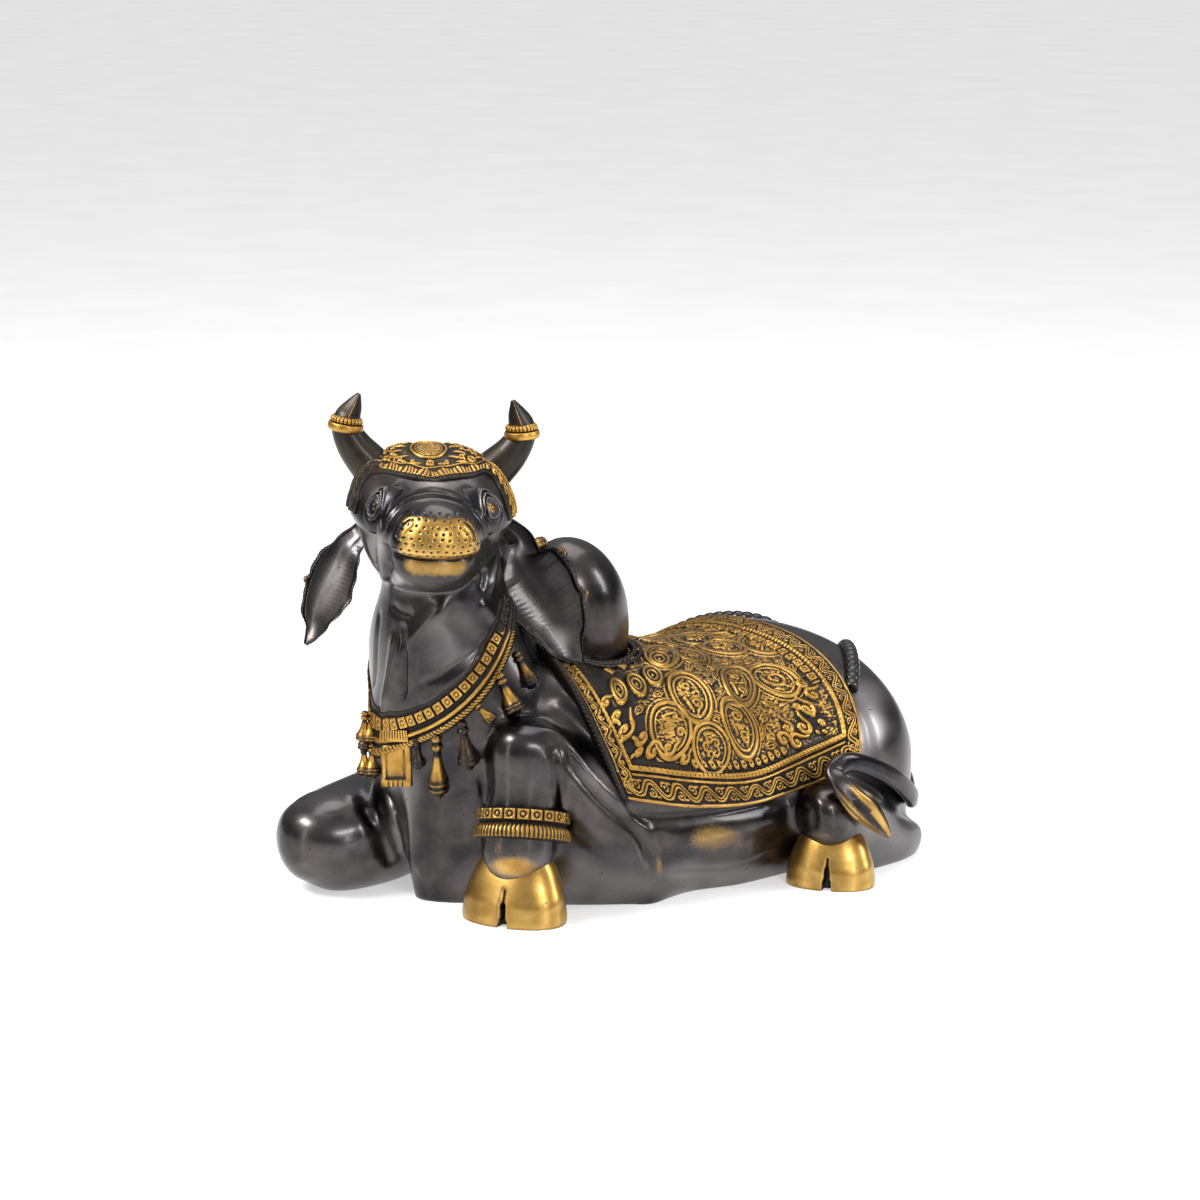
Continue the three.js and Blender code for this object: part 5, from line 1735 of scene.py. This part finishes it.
def lipRelief(left, high, out):
    strands = np.sin(left * 4.2 + high * 0.6) * ease(high, -4, -8) * ease(left, -6, 4)
    reach = np.hypot(left / 19.4, np.minimum(high, 0) / 15.0)
    rub = 0.85 * ease(high, -12.0, -2.0) * ease(reach, 1.0, 0.6)
    rub = rub * (0.85 + 0.15 * np.sin(left * 1.3 + 2) * ease(high, -3, -9))
    # Painted shade: the lip's top, tucked under the dome, and its underside are darker; the
    # underside also takes a lighter grey painted reflection of the floor.
    shadeUnderDome = ease(high, 1.0, 2.6)
    under = ease(high, -4.0, -12.0)
    dip = np.clip(0.15 + shadeUnderDome + 0.45 * np.clip(-strands, 0, 1) + 0.45 * under, 0, 1)
    rub = np.clip(rub - 0.2 * strands, 0, 1)
    return 0.3 * strands, {"rub": rub, "dip": dip, "pale": 0.3 * under}


# Eyes: almond lids round a ringed pupil, laid on the head
eyePiece = {
    "pixel": {1: (491.5, 508), -1: (374.5, 506)}, "half": (10.4, 13.0), "lift": 0.35,
    "narrow": {1: 0.9, -1: 0.66},
}


# Casts a flat of x and y onto a mesh along a direction and keeps the points where it hits.
def castSheet(tree, centre, sideways, upwards, outward, x, y):
    gap = 25.0
    points = np.empty((len(x), 3))
    last = np.asarray(centre)
    for k in range(len(x)):
        start = centre + sideways * x[k] + upwards * y[k]
        hit = tree.ray_cast(Vector(start + outward * gap), Vector(-outward), gap * 2.5)[0]
        last = np.array(hit) if hit is not None else start + outward * ((last - start) @ outward)
        points[k] = last
    return points


def eyeRelief(x, y):
    lean = x + 0.14 * y
    size = np.hypot(lean / (3.9 - 0.16 * y), (y - 0.12 * lean) / 4.9)
    ball = np.hypot(lean, y)
    height = 1.6 * domed(ball / 2.5) - 0.8 * ease(size, 1.0, 0.6)
    cut = 0.8 * bump((ball - 1.0) / 0.2) + bump((size - 0.84) / 0.1)
    upper = ease(y, -3.5, 0.5)
    crest = 0 * height
    arches = ((1.04, 0.09, 1.3, 1), (1.5, 0.11, 1.4, upper), (2.0, 0.1, 1.1, upper))
    for at, width, rise, part in arches:
        ridge = bump((size - at) / width) * part
        height = np.maximum(height, rise * ridge)
        crest = np.maximum(crest, ridge)
    for at, part in ((1.27, 1), (1.76, upper)):
        groove = bump((size - at) / 0.1) * part
        height -= 0.9 * groove
        cut = np.maximum(cut, groove)
    fade = ease(size, 2.4, 2.15)
    return height * fade, ease(ball, 2.6, 2.1), size, np.clip(cut, 0, 1) * fade, crest * fade


def eyeMesh(side):
    spots = [underPixel(headTree, eyePiece["pixel"][side][0] + dx, eyePiece["pixel"][side][1] + dy)
             for dx, dy in ((0, 0), (-7, 0), (7, 0), (0, -10), (0, 10))]
    centre = spots[0][0]
    outward = unit(sum(spot[1] for spot in spots))
    sideways = unit(np.cross(headUp, outward))
    upwards = np.cross(outward, sideways)
    halfX, halfY = eyePiece["half"]
    count, tall = 76, 100

    def place(u, v):
        x, y = (u * 2 - 1) * halfX, (v * 2 - 1) * halfY
        points = castSheet(headTree, centre, sideways, upwards, outward, x, y)
        grid = points.reshape(tall + 1, count + 1, 3)
        for k in range(3):
            grid[..., k] = blurred(grid[..., k], 3)
        height, pupil, size, cut, crest = eyeRelief(x * side / eyePiece["narrow"][side], y)
        rim = np.maximum(np.abs(x) / halfX, np.abs(y) / halfY)
        lift = height + eyePiece["lift"] * ease(size, 2.3, 1.8) - 1.6 * ease(rim, 0.84, 1.0)
        rub = np.clip(pupil * (0.85 if side > 0 else 0.35), 0, 1) * (1 - cut)
        # The lid crests are drawn lighter grey: a painted highlight.
        marks = {"rub": rub, "dip": cut * ease(rim, 1.0, 0.85), "pale": crest * 0.4}
        return grid.reshape(-1, 3) + outward * lift[:, None], marks

    return faceOut(gridMesh(count, tall, place), outward)


# Tail: down the rump, forward over the thigh and back in a loop, with the tuft at its end
tailPiece = {
    "path": [
        (0, 126, 92), (3, 148, 80), (14, 161, 59), (34, 165, 41), (60, 156, 31), (84, 138, 28),
        (96, 127, 34), (103, 111, 46), (105, 95, 55), (106, 81, 61), (106, 72, 62), (107, 66, 59),
        (112, 65, 55), (117, 69, 48), (120, 77, 40), (121, 84, 32), (121, 90, 25),
    ],
    # where the band faces: the share of the run and the direction
    "faces": [
        (0, 0, 0.6, 0.8), (0.2, 0.1, 1, 0.2), (0.38, 0.6, 0.8, 0.1), (0.52, 0.95, 0.3, 0.1),
        (0.66, 0.95, -0.05, 0.35), (0.78, 0.9, -0.4, 0.2), (1.0, 0.97, -0.2, 0.12),
    ],
    "flat": 4.7, "thick": 3.2, "tuft": 1.55,
}


def makeTail():
    path = np.array(tailPiece["path"], float)
    rings = 260
    spine = evenly(through(path, 400), rings)
    run = np.linspace(0, 1, rings)
    flat = tailPiece["flat"] * mix(1.5, 1.0, ease(run, 0, 0.3))
    bulk = mix(1.0, tailPiece["tuft"], ease(run, 0.84, 0.92))
    flat = flat * bulk * ease(run, -0.03, 0.04) * np.sqrt(np.clip((1.002 - run) / 0.09, 0, 1))
    thick = tailPiece["thick"] * bulk * np.sqrt(np.clip((1.01 - run) / 0.1, 0, 1))
    thick = thick * mix(1.7, 1.0, ease(run, 0, 0.25))
    thick = thick * ease(run, -0.03, 0.04)
    along = unit(np.gradient(spine, axis=0))
    face = rowAt(tailPiece["faces"], run)[:, 1:]
    face = unit(face - along * (face * along).sum(1)[:, None])
    side = np.cross(along, face)
    angle = np.arange(36) / 36 * turn
    reach = shaped(np.cos(angle)[None], 0.75) * flat[:, None]
    lift = shaped(np.sin(angle)[None], 0.75) * thick[:, None]
    skin = spine[:, None] + side[:, None] * reach[..., None] + face[:, None] * lift[..., None]
    tuft = ease(run, 0.84, 0.9)[:, None]
    hair = 1 + 0.06 * tuft * np.cos(angle[None] * 7 + run[:, None] * 20)
    middle = skin.mean(1, keepdims=True)
    skin = middle + (skin - middle) * hair[..., None]
    streaks = np.sin(angle[None] * 5 + run[:, None] * 26)
    worn = ease(run, 0.84, 0.9)[:, None] * (0.62 + 0.3 * streaks)
    rims = 0.3 * bump((np.abs(np.cos(angle)) - 1) / 0.08)[None]
    worn = worn + rims * ease(run, 0.7, 0.8)[:, None]
    return loftMesh(skin, {"rub": np.clip(worn, 0, 1), "dip": tuft * (hair < 0.98) * 0.6})


# A rope of strands, or of blocks where it has a pitch.
def ropeShape(strands, pitch):
    def shape(angle, run):
        return 1 + 0.16 * np.cos(strands * angle + run * turn / pitch)
    return shape


crupperPiece = {"radius": 3.7, "steps": 220, "lift": 1.6, "swing": (0.86, 0.03), "end": 157}


# The body's skin out from the torso's own at y and an angle.
def onBody(y, angle):
    outer, inner = torsoPoint(np.full(2, y), np.full(2, angle), np.array([30.0, -14.0]))
    hit = bodyTree.ray_cast(Vector(outer), Vector(unit(inner - outer)))[0]
    skin = np.array(hit) if hit is not None else inner
    return skin + unit(outer - inner) * crupperPiece["lift"]


def makeCrupper():
    meshes = []
    for side in (1, -1):
        t = np.linspace(0, 1, crupperPiece["steps"])
        angle = math.pi / 2 - side * mix(*crupperPiece["swing"], t)
        y = mix(blanketPiece["rear"] - 4, crupperPiece["end"], t)
        line = np.array([onBody(*spot) for spot in zip(y, angle)])
        line = blurredPoints(np.repeat(line[:, None], 3, 1), 6)[:, 1]

        def block(angle, run):
            return 0.8 + 0.25 * ridges(run * math.pi / 5.2)

        marks = {"dip": lambda angle, run: ease(np.abs(np.sin(run * math.pi / 5.2)), 0.35, 0.05)
                 + 0 * angle}
        meshes.append(tubeMesh(line, crupperPiece["radius"], 20, block, marks=marks))
    return joinMeshes(meshes)


# The moulding round the foot of the hump
humpRingPiece = {"radius": 1.8, "reach": 28.4, "steps": 260}


def makeHumpRing():
    meshes = []
    for grow, radius in ((0.0, humpRingPiece["radius"]), (3.2, 1.2)):
        angle = np.linspace(0, turn, humpRingPiece["steps"], endpoint=False)
        x = (humpRingPiece["reach"] + grow) * np.cos(angle)
        y = humpForm["centre"][1] + (humpRingPiece["reach"] + 2.5 + grow) * np.sin(angle)
        _, half, _, waist, top = rowAt(torsoRows, y).T
        share = (1 - np.abs(x / half) ** torsoFullness) ** (1 / torsoFullness)
        line = np.stack([x, y, waist + (top - waist + 2.8) * share], 1)
        marks = {"rub": lambda angle, run: 0.12 + 0 * angle + 0 * run}
        meshes.append(tubeMesh(line, radius, 14, ropeShape(2, 3.4), closed=True, marks=marks))
    return joinMeshes(meshes)


# Anklet: a row of square ring beads over a knurled fringe, tilted on the leg
ankletPiece = {
    "height": 46.0, "axis": (-0.26, 0.27, 1.0), "grow": 0.9, "side": 1.4, "beads": 21,
    "knurls": 66,
}


def makeAnklet():
    x, y, radius = rowAt(cannonRows, ankletPiece["height"])[0][1:4]
    radius = radius + ankletPiece["grow"]
    axis = unit(np.array(ankletPiece["axis"]))
    first = unit(np.cross(axis, bodyLeft))
    second = np.cross(axis, first)
    sides, rings = 300, 40
    profile = [
        (-7.6, -3.5), (-7.2, 2.2), (-5.6, 3.6), (-2.2, 3.0), (-1.0, 2.0), (-0.3, 1.3), (0.4, 1.9),
        (1.3, 2.3), (6.4, 2.2), (7.2, 1.4), (7.8, -3.5),
    ]

    def place(u, v):
        angle = u * turn
        height = mix(-7.6, 7.8, v)
        body = rowAt(profile, height)[:, 1]
        knurl = ridges(angle * ankletPiece["knurls"] / 2)
        fringe = knurl * ease(np.abs(height + 3.9), 3.7, 3.1)
        pitch = turn / ankletPiece["beads"]
        beadX = ((angle % pitch) - pitch / 2) * (radius + 3)
        beadY = height - 3.9
        box = np.maximum(np.abs(beadX) / 2.95, np.abs(beadY) / 2.7)
        bead = 1.1 * ease(box, 1.05, 0.85)
        ring = 0.7 * bump((np.hypot(beadX, beadY) - 1.3) / 0.45)
        wide = radius + body + 0.9 * fringe + bead - ring * (box < 1)
        points = (
            np.array([x, y, ankletPiece["height"]]) + levelLeft * ankletPiece["side"]
            + axis * height[:, None]
            + first * (wide * np.cos(angle))[:, None] + second * (wide * np.sin(angle))[:, None]
        )
        rub = 0.2 + 0.5 * fringe + 0.55 * ease(box, 1.05, 0.9) - 0.7 * ring
        dip = 0.8 * np.clip(1 - fringe - 2 * bead, 0, 1) + 0.5 * ring * (box < 1)
        return points, {"rub": np.clip(rub, 0, 1), "dip": np.clip(dip, 0, 1)}

    return weld(gridMesh(sides, rings, place))


# Necklace: a strip round the neck with square beads and twin ropes, and bells under it
necklacePiece = {"up": 12.0, "down": 4.5, "across": 46, "along": 760, "pitch": 5.6}


def aroundNeck(tree, angle, offset):
    ahead = unit(forward * 0.75 + np.array([0.0, -1.0, 0.0]))
    ahead = unit(ahead - neckNormal * (ahead @ neckNormal))
    left = np.cross(neckNormal, ahead)
    points = np.empty((len(angle), 3))
    for k in range(len(angle)):
        way = ahead * math.cos(angle[k]) + left * math.sin(angle[k])
        origin = neckMiddle + neckNormal * offset[k]
        hit = tree.ray_cast(Vector(origin + way * 90), Vector(-way), 90)[0]
        points[k] = np.array(hit) if hit is not None else origin + way * 30
    return points


def makeNecklace(tree):
    piece = necklacePiece
    across, along = piece["across"], piece["along"]
    share, over = skirted(across, 2)
    offsets = mix(-piece["down"], piece["up"], share)
    angles = np.linspace(0, turn, along, endpoint=False)
    grid = aroundNeck(tree, np.repeat(angles, across + 1), np.tile(offsets, along))
    base = grid.reshape(along, across + 1, 3)
    wide = np.concatenate([base[-8:], base, base[:8]])
    base = blurredPoints(wide, 2.0)[8:-8]
    around = np.concatenate([base[-1:], base, base[:1]])
    normals = unit(np.cross(np.gradient(around, axis=0), np.gradient(around, axis=1)))[1:-1]
    normals = normals[:, np.clip(np.arange(across + 1), 3, across - 3)]
    if normals[0, across // 2] @ (base[0, across // 2] - neckMiddle) < 0:
        normals = -normals
    middle = base[:, across // 2]
    steps = np.linalg.norm(np.diff(np.concatenate([middle, middle[:1]]), axis=0), axis=1)
    total = steps.sum()
    pitch = total / round(total / piece["pitch"])
    run = np.concatenate([[0], np.cumsum(steps)[:-1]])[:, None] * np.ones(across + 1)
    y = np.broadcast_to(offsets[None], run.shape)
    twist = 0.75 + 0.25 * np.sin(turn * (run + y) / 1.9)
    height = np.zeros(run.shape) + 0.5
    height = np.maximum(height, 1.9 * twist * domed((y + 2.0) / 1.5))
    height = np.maximum(height, 1.5 * domed((y - 1.3) / 1.1))
    beadX = (run % pitch) - pitch / 2
    beadY = y - 7.0
    box = np.maximum(np.abs(beadX) / 2.35, np.abs(beadY) / 2.5)
    ring = bump((np.hypot(beadX, beadY) - 1.15) / 0.4)
    height = np.maximum(height, 1.7 * ease(box, 1.05, 0.85)) - 0.6 * ring * (box < 1)
    rub, dip = wearFrom(height, 0.37, 0.36 + 0.3 * ease(box, 1.05, 0.9))
    lift = height * (1 - over)[None] - 2.5 * over[None]
    # Behind the left ear the strip goes under the neck's skin.
    pixels = pixelsOf(base.reshape(-1, 3)).reshape(along, across + 1, 2)
    front = (normals @ viewAxes()[2] > -0.2) * (pixels[..., 0] > 470)
    lift = mix(lift, -2.5, ease(pixels[..., 1], 604, 580) * front)
    rub = rub * (1 - front * ease(pixels[..., 1], 642, 622))
    points = base + normals * lift[..., None]

    def place(u, v):
        row = np.rint(v * along).astype(int) % along
        column = np.rint(u * across).astype(int)
        marks = {"rub": rub[row, column], "dip": dip[row, column]}
        return points[row, column], marks

    return weld(gridMesh(across, along, place))


# Bells, plates and leaves that hang under the necklace
bellPiece = {
    # photo pixels of the top and of the foot, radius, rub
    "seen": [
        ((515, 653), (533, 688), 4.2, 0.5), ((498, 675), (517, 717), 5.0, 0.66),
        ((461, 722), (470, 768), 5.4, 0.3), ((437, 735), (440, 797), 5.0, 0.72),
        ((372, 712), (373, 745), 4.0, 0.75), ((361, 712), (358, 743), 4.0, 0.75),
        ((352, 722), (350, 752), 3.2, 0.5), ((373, 744), (375, 779), 4.2, 0.7),
        ((362, 744), (363, 778), 4.0, 0.7), ((353, 749), (355, 770), 3.2, 0.5),
        ((474, 703), (494, 722), 3.4, 0.7), ((417, 738), (419, 768), 3.6, 0.35),
    ],
    "profile": [
        (0.1, -0.04, 0), (0.42, 0.0, 0.7), (0.5, 0.07, 0.9), (0.3, 0.11, 0.1), (0.54, 0.16, 0.9),
        (0.5, 0.22, 0.6), (0.3, 0.26, 0.1), (0.38, 0.36, 0.9), (0.52, 0.52, 1.0), (0.78, 0.66, 0.8),
        (0.95, 0.72, 0.4), (1.0, 0.76, 0.9), (0.86, 0.79, 0.0), (1.02, 0.83, 0.7),
        (0.98, 0.88, 0.4), (0.6, 0.91, 0.0), (0.42, 0.95, 0.5), (0.3, 1.0, 0.6), (0.02, 1.02, 0.4),
    ],
    "unseen": {"degrees": (62, 288, 15), "top": -5.0, "length": 15.0, "radius": 4.2},
}


def bellMesh(top, foot, radius, rub):
    way = foot - top
    length = np.linalg.norm(way)
    rows = [(wide * radius, at * length, 0, rub * worn) for wide, at, worn in bellPiece["profile"]]
    return turnedMesh(top, way, rows, rings=48, sides=20)


# The skin under a pixel, or beside it at the outline where the pixel misses.
def besidePixel(tree, x, y):
    for step in range(0, 40, 2):
        hit = underPixel(tree, x + step, y)
        if hit is not None:
            shift = -min(step * np.linalg.norm(hit[0] - view["eye"]) / view["focal"], 3)
            return hit[0] + viewAxes()[0] * shift, hit[1]
    return None


def makeBells(tree):
    meshes = []
    for top, foot, radius, rub in bellPiece["seen"]:
        ends = [besidePixel(tree, *top), besidePixel(tree, *foot)]
        fall = np.linalg.norm(np.subtract(foot, top))
        depth = np.linalg.norm(ends[0][0] - view["eye"]) / view["focal"]
        if np.linalg.norm(ends[1][0] - ends[0][0]) > 1.5 * fall * depth:  # it missed the chest
            drop = viewAxes()[0] * (foot[0] - top[0]) - viewAxes()[1] * (foot[1] - top[1])
            ends[1] = (ends[0][0] + drop * depth, ends[0][1])
        out = unit(ends[0][1] + ends[1][1])
        meshes.append(bellMesh(ends[0][0] + out * radius * 0.2, ends[1][0] + out * radius * 0.3,
                               radius, rub))
    row = bellPiece["unseen"]
    for degrees in range(*row["degrees"]):
        angle = np.full(2, math.radians(degrees))
        top, foot = aroundNeck(tree, angle, [row["top"], row["top"] - row["length"]])
        away = unit((top - neckMiddle) * [1, 1, 0])
        if away @ viewAxes()[2] > -0.25 or np.linalg.norm(top - foot) > 30:
            continue
        lift = away * row["radius"] * 0.5
        meshes.append(bellMesh(top + lift, foot + lift, row["radius"], 0.7))
    return joinMeshes(meshes)


# The knurled band and the plate at the middle of the chest, laid out by the photo's pixels
platePiece = {"left": 379, "right": 412, "top": 729, "foot": 786, "across": 60, "along": 100}


def makePlate(tree):
    piece = platePiece
    across, along = piece["across"], piece["along"]

    def surface(u, v):
        points = np.zeros((len(u), 3))
        last = underPixel(tree, 396, 750)[0]
        for k in range(len(u)):
            narrow = 0.5 + (u[k] - 0.5) * (0.82 + 0.18 * min(v[k] * 2.5, 1))
            found = underPixel(
                tree, mix(piece["left"], piece["right"], narrow) + 1.5 * v[k],
                mix(piece["top"], piece["foot"], v[k]),
            )
            last = found[0] if found is not None else last
            points[k] = last
        grid = points.reshape(along + 1, across + 1, 3)
        return blurredPoints(grid, 3).reshape(-1, 3)

    def relief(u, v, base):
        band = ease(v, 0.23, 0.2)
        knurl = ridges(u * 11 * math.pi)
        plain = ease(v, 0.26, 0.3) * ease(np.abs(u - 0.5), 0.5, 0.42)
        lines = 0.5 * bump((np.abs(u - 0.5) - 0.36) / 0.04)
        foot = 0.6 * ridges(u * 7 * math.pi) * ease(v, 0.86, 0.9)
        height = band * (1.2 + 0.8 * knurl) + plain * (0.9 + lines + foot)
        rub, dip = wearFrom(height, 0.25, 0.42 + 0.2 * plain + 0.1 * band)
        return height, {"rub": rub, "dip": dip}

    outside = unit(viewAxes()[2])
    return faceOut(sheetMesh(across, along, surface, relief, outside, sink=2.0), outside)


# Floor, light and sky

def makeFloor():
    shape = bmesh.new()
    bmesh.ops.create_grid(shape, x_segments=8, y_segments=8, size=30)
    mesh = bpy.data.meshes.new("floor")
    shape.to_mesh(mesh)
    shape.free()
    floor = bpy.data.objects.new("floor", mesh)
    bpy.context.collection.objects.link(floor)
    material = bpy.data.materials.new("paleFloor")
    material.use_nodes = True
    tree = material.node_tree
    shader = tree.nodes["Principled BSDF"]
    place = addNode(tree, "TexCoord").outputs["Object"]
    cloud = noiseOf(tree, place, 6.0, 3.0)
    color = mixedColor(tree, cloud, (0.66, 0.66, 0.665, 1), (0.7, 0.7, 0.7, 1))
    tree.links.new(color, shader.inputs["Base Color"])
    rough = mapped(tree, noiseOf(tree, place, 9.0, 2.0), 0.2, 0.8, (0.2, 0.26))
    tree.links.new(rough, shader.inputs["Roughness"])
    shader.inputs["Emission Color"].default_value = (1, 1, 1, 1)
    shader.inputs["Emission Strength"].default_value = 0.45
    mesh.materials.append(material)


def addLight(name, place, aim, size, power, color=(1, 1, 1)):
    lamp = bpy.data.lights.new(name, "AREA")
    lamp.shape = "RECTANGLE"
    lamp.size, lamp.size_y = size
    lamp.energy = power
    lamp.color = color
    thing = bpy.data.objects.new(name, lamp)
    bpy.context.collection.objects.link(thing)
    thing.location = place
    way = Vector(place) - Vector(aim)
    thing.rotation_mode = "QUATERNION"
    thing.rotation_quaternion = way.to_track_quat("Z", "Y")


def makeSky():
    world = bpy.data.worlds.new("studio")
    bpy.context.scene.world = world
    world.use_nodes = True
    tree = world.node_tree
    tree.nodes.clear()
    place = addNode(tree, "TexCoord").outputs["Generated"]
    parts = addNode(tree, "SeparateXYZ", {0: place})
    tall = mapped(tree, parts.outputs[2], 0.05, 0.9, (0.16, 0.75))
    seen = addNode(tree, "LightPath").outputs["Is Camera Ray"]
    strength = mixedValue(tree, seen, tall, 0.95)
    background = addNode(
        tree, "Background", {"Strength": strength, "Color": (1, 1, 1.02, 1)}
    )
    end = addNode(tree, "OutputWorld")
    tree.links.new(background.outputs[0], end.inputs["Surface"])


makeFloor()
makeSky()
lightTable = [
    ("key", (-0.3, -1.3, 1.45), (0, -0.05, 0.12), (0.7, 0.45), 34, (1, 0.985, 0.97)),
    ("top", (-0.2, 0.3, 1.9), (0, 0, 0), (1.4, 1.4), 22, (1, 1, 1)),
    ("rim", (1.3, 1.3, 1.0), (0, 0.05, 0.1), (0.35, 0.9), 18, (0.97, 0.985, 1)),
    ("fill", (1.9, -0.5, 1.2), (0, 0, 0.05), (0.5, 0.35), 10, (1, 1, 1)),
    ("strip", (1.7, -0.25, 0.62), (0.05, -0.08, 0.08), (0.09, 1.0), 4.5, (1, 1, 1)),
    ("edge", (0.1, -1.7, 0.55), (0, -0.1, 0.1), (0.1, 1.0), 3, (1, 1, 1)),
]
for light in lightTable:
    addLight(*light)
bpy.context.scene.view_settings.view_transform = "Standard"
print("floor and light are set")

finishSkin(bodyMesh, bodyTree, skinPiece["body"])
finishSkin(headMesh, headTree, skinPiece["head"])
bullTree = treeOf(joinMeshes([bodyMesh.copy(), headMesh.copy()]))
addPiece("bullBody", bodyMesh, skinBronze)
addPiece("bullHead", headMesh, skinBronze)
addPiece("blanketLeft", makeBlanket(True), carvedBronze)
addPiece("blanketRight", makeBlanket(False), carvedBronze)
print("blanket is laid")
addPiece("hooves", makeHooves(), hoofBronze)
for side, word in ((1, "left"), (-1, "right")):
    addPiece(word + "Horn", hornMesh(side), carvedBronze)
    addPiece(word + "HornBand", joinMeshes(hornBand(side)), carvedBronze)
    addPiece(word + "Ear", earMesh(side), skinBronze)
addPiece("muzzle", ballSheet(136, muzzlePiece["dome"], domeRelief), hoofBronze)
addPiece("lowerLip", ballSheet(70, muzzlePiece["lip"], lipRelief), hoofBronze)
addPiece("cap", makeCap(), carvedBronze)
addPiece("leftEye", eyeMesh(1), skinBronze)
addPiece("rightEye", eyeMesh(-1), skinBronze)
print("head is dressed")
addPiece("tail", makeTail(), skinBronze)
addPiece("crupper", makeCrupper(), skinBronze)
addPiece("humpRing", makeHumpRing(), carvedBronze)
addPiece("anklet", makeAnklet(), carvedBronze)
addPiece("necklace", makeNecklace(bullTree), carvedBronze)
addPiece("bells", makeBells(bullTree), carvedBronze)
addPiece("chestPlate", makePlate(bullTree), carvedBronze)
print("ornaments are set")
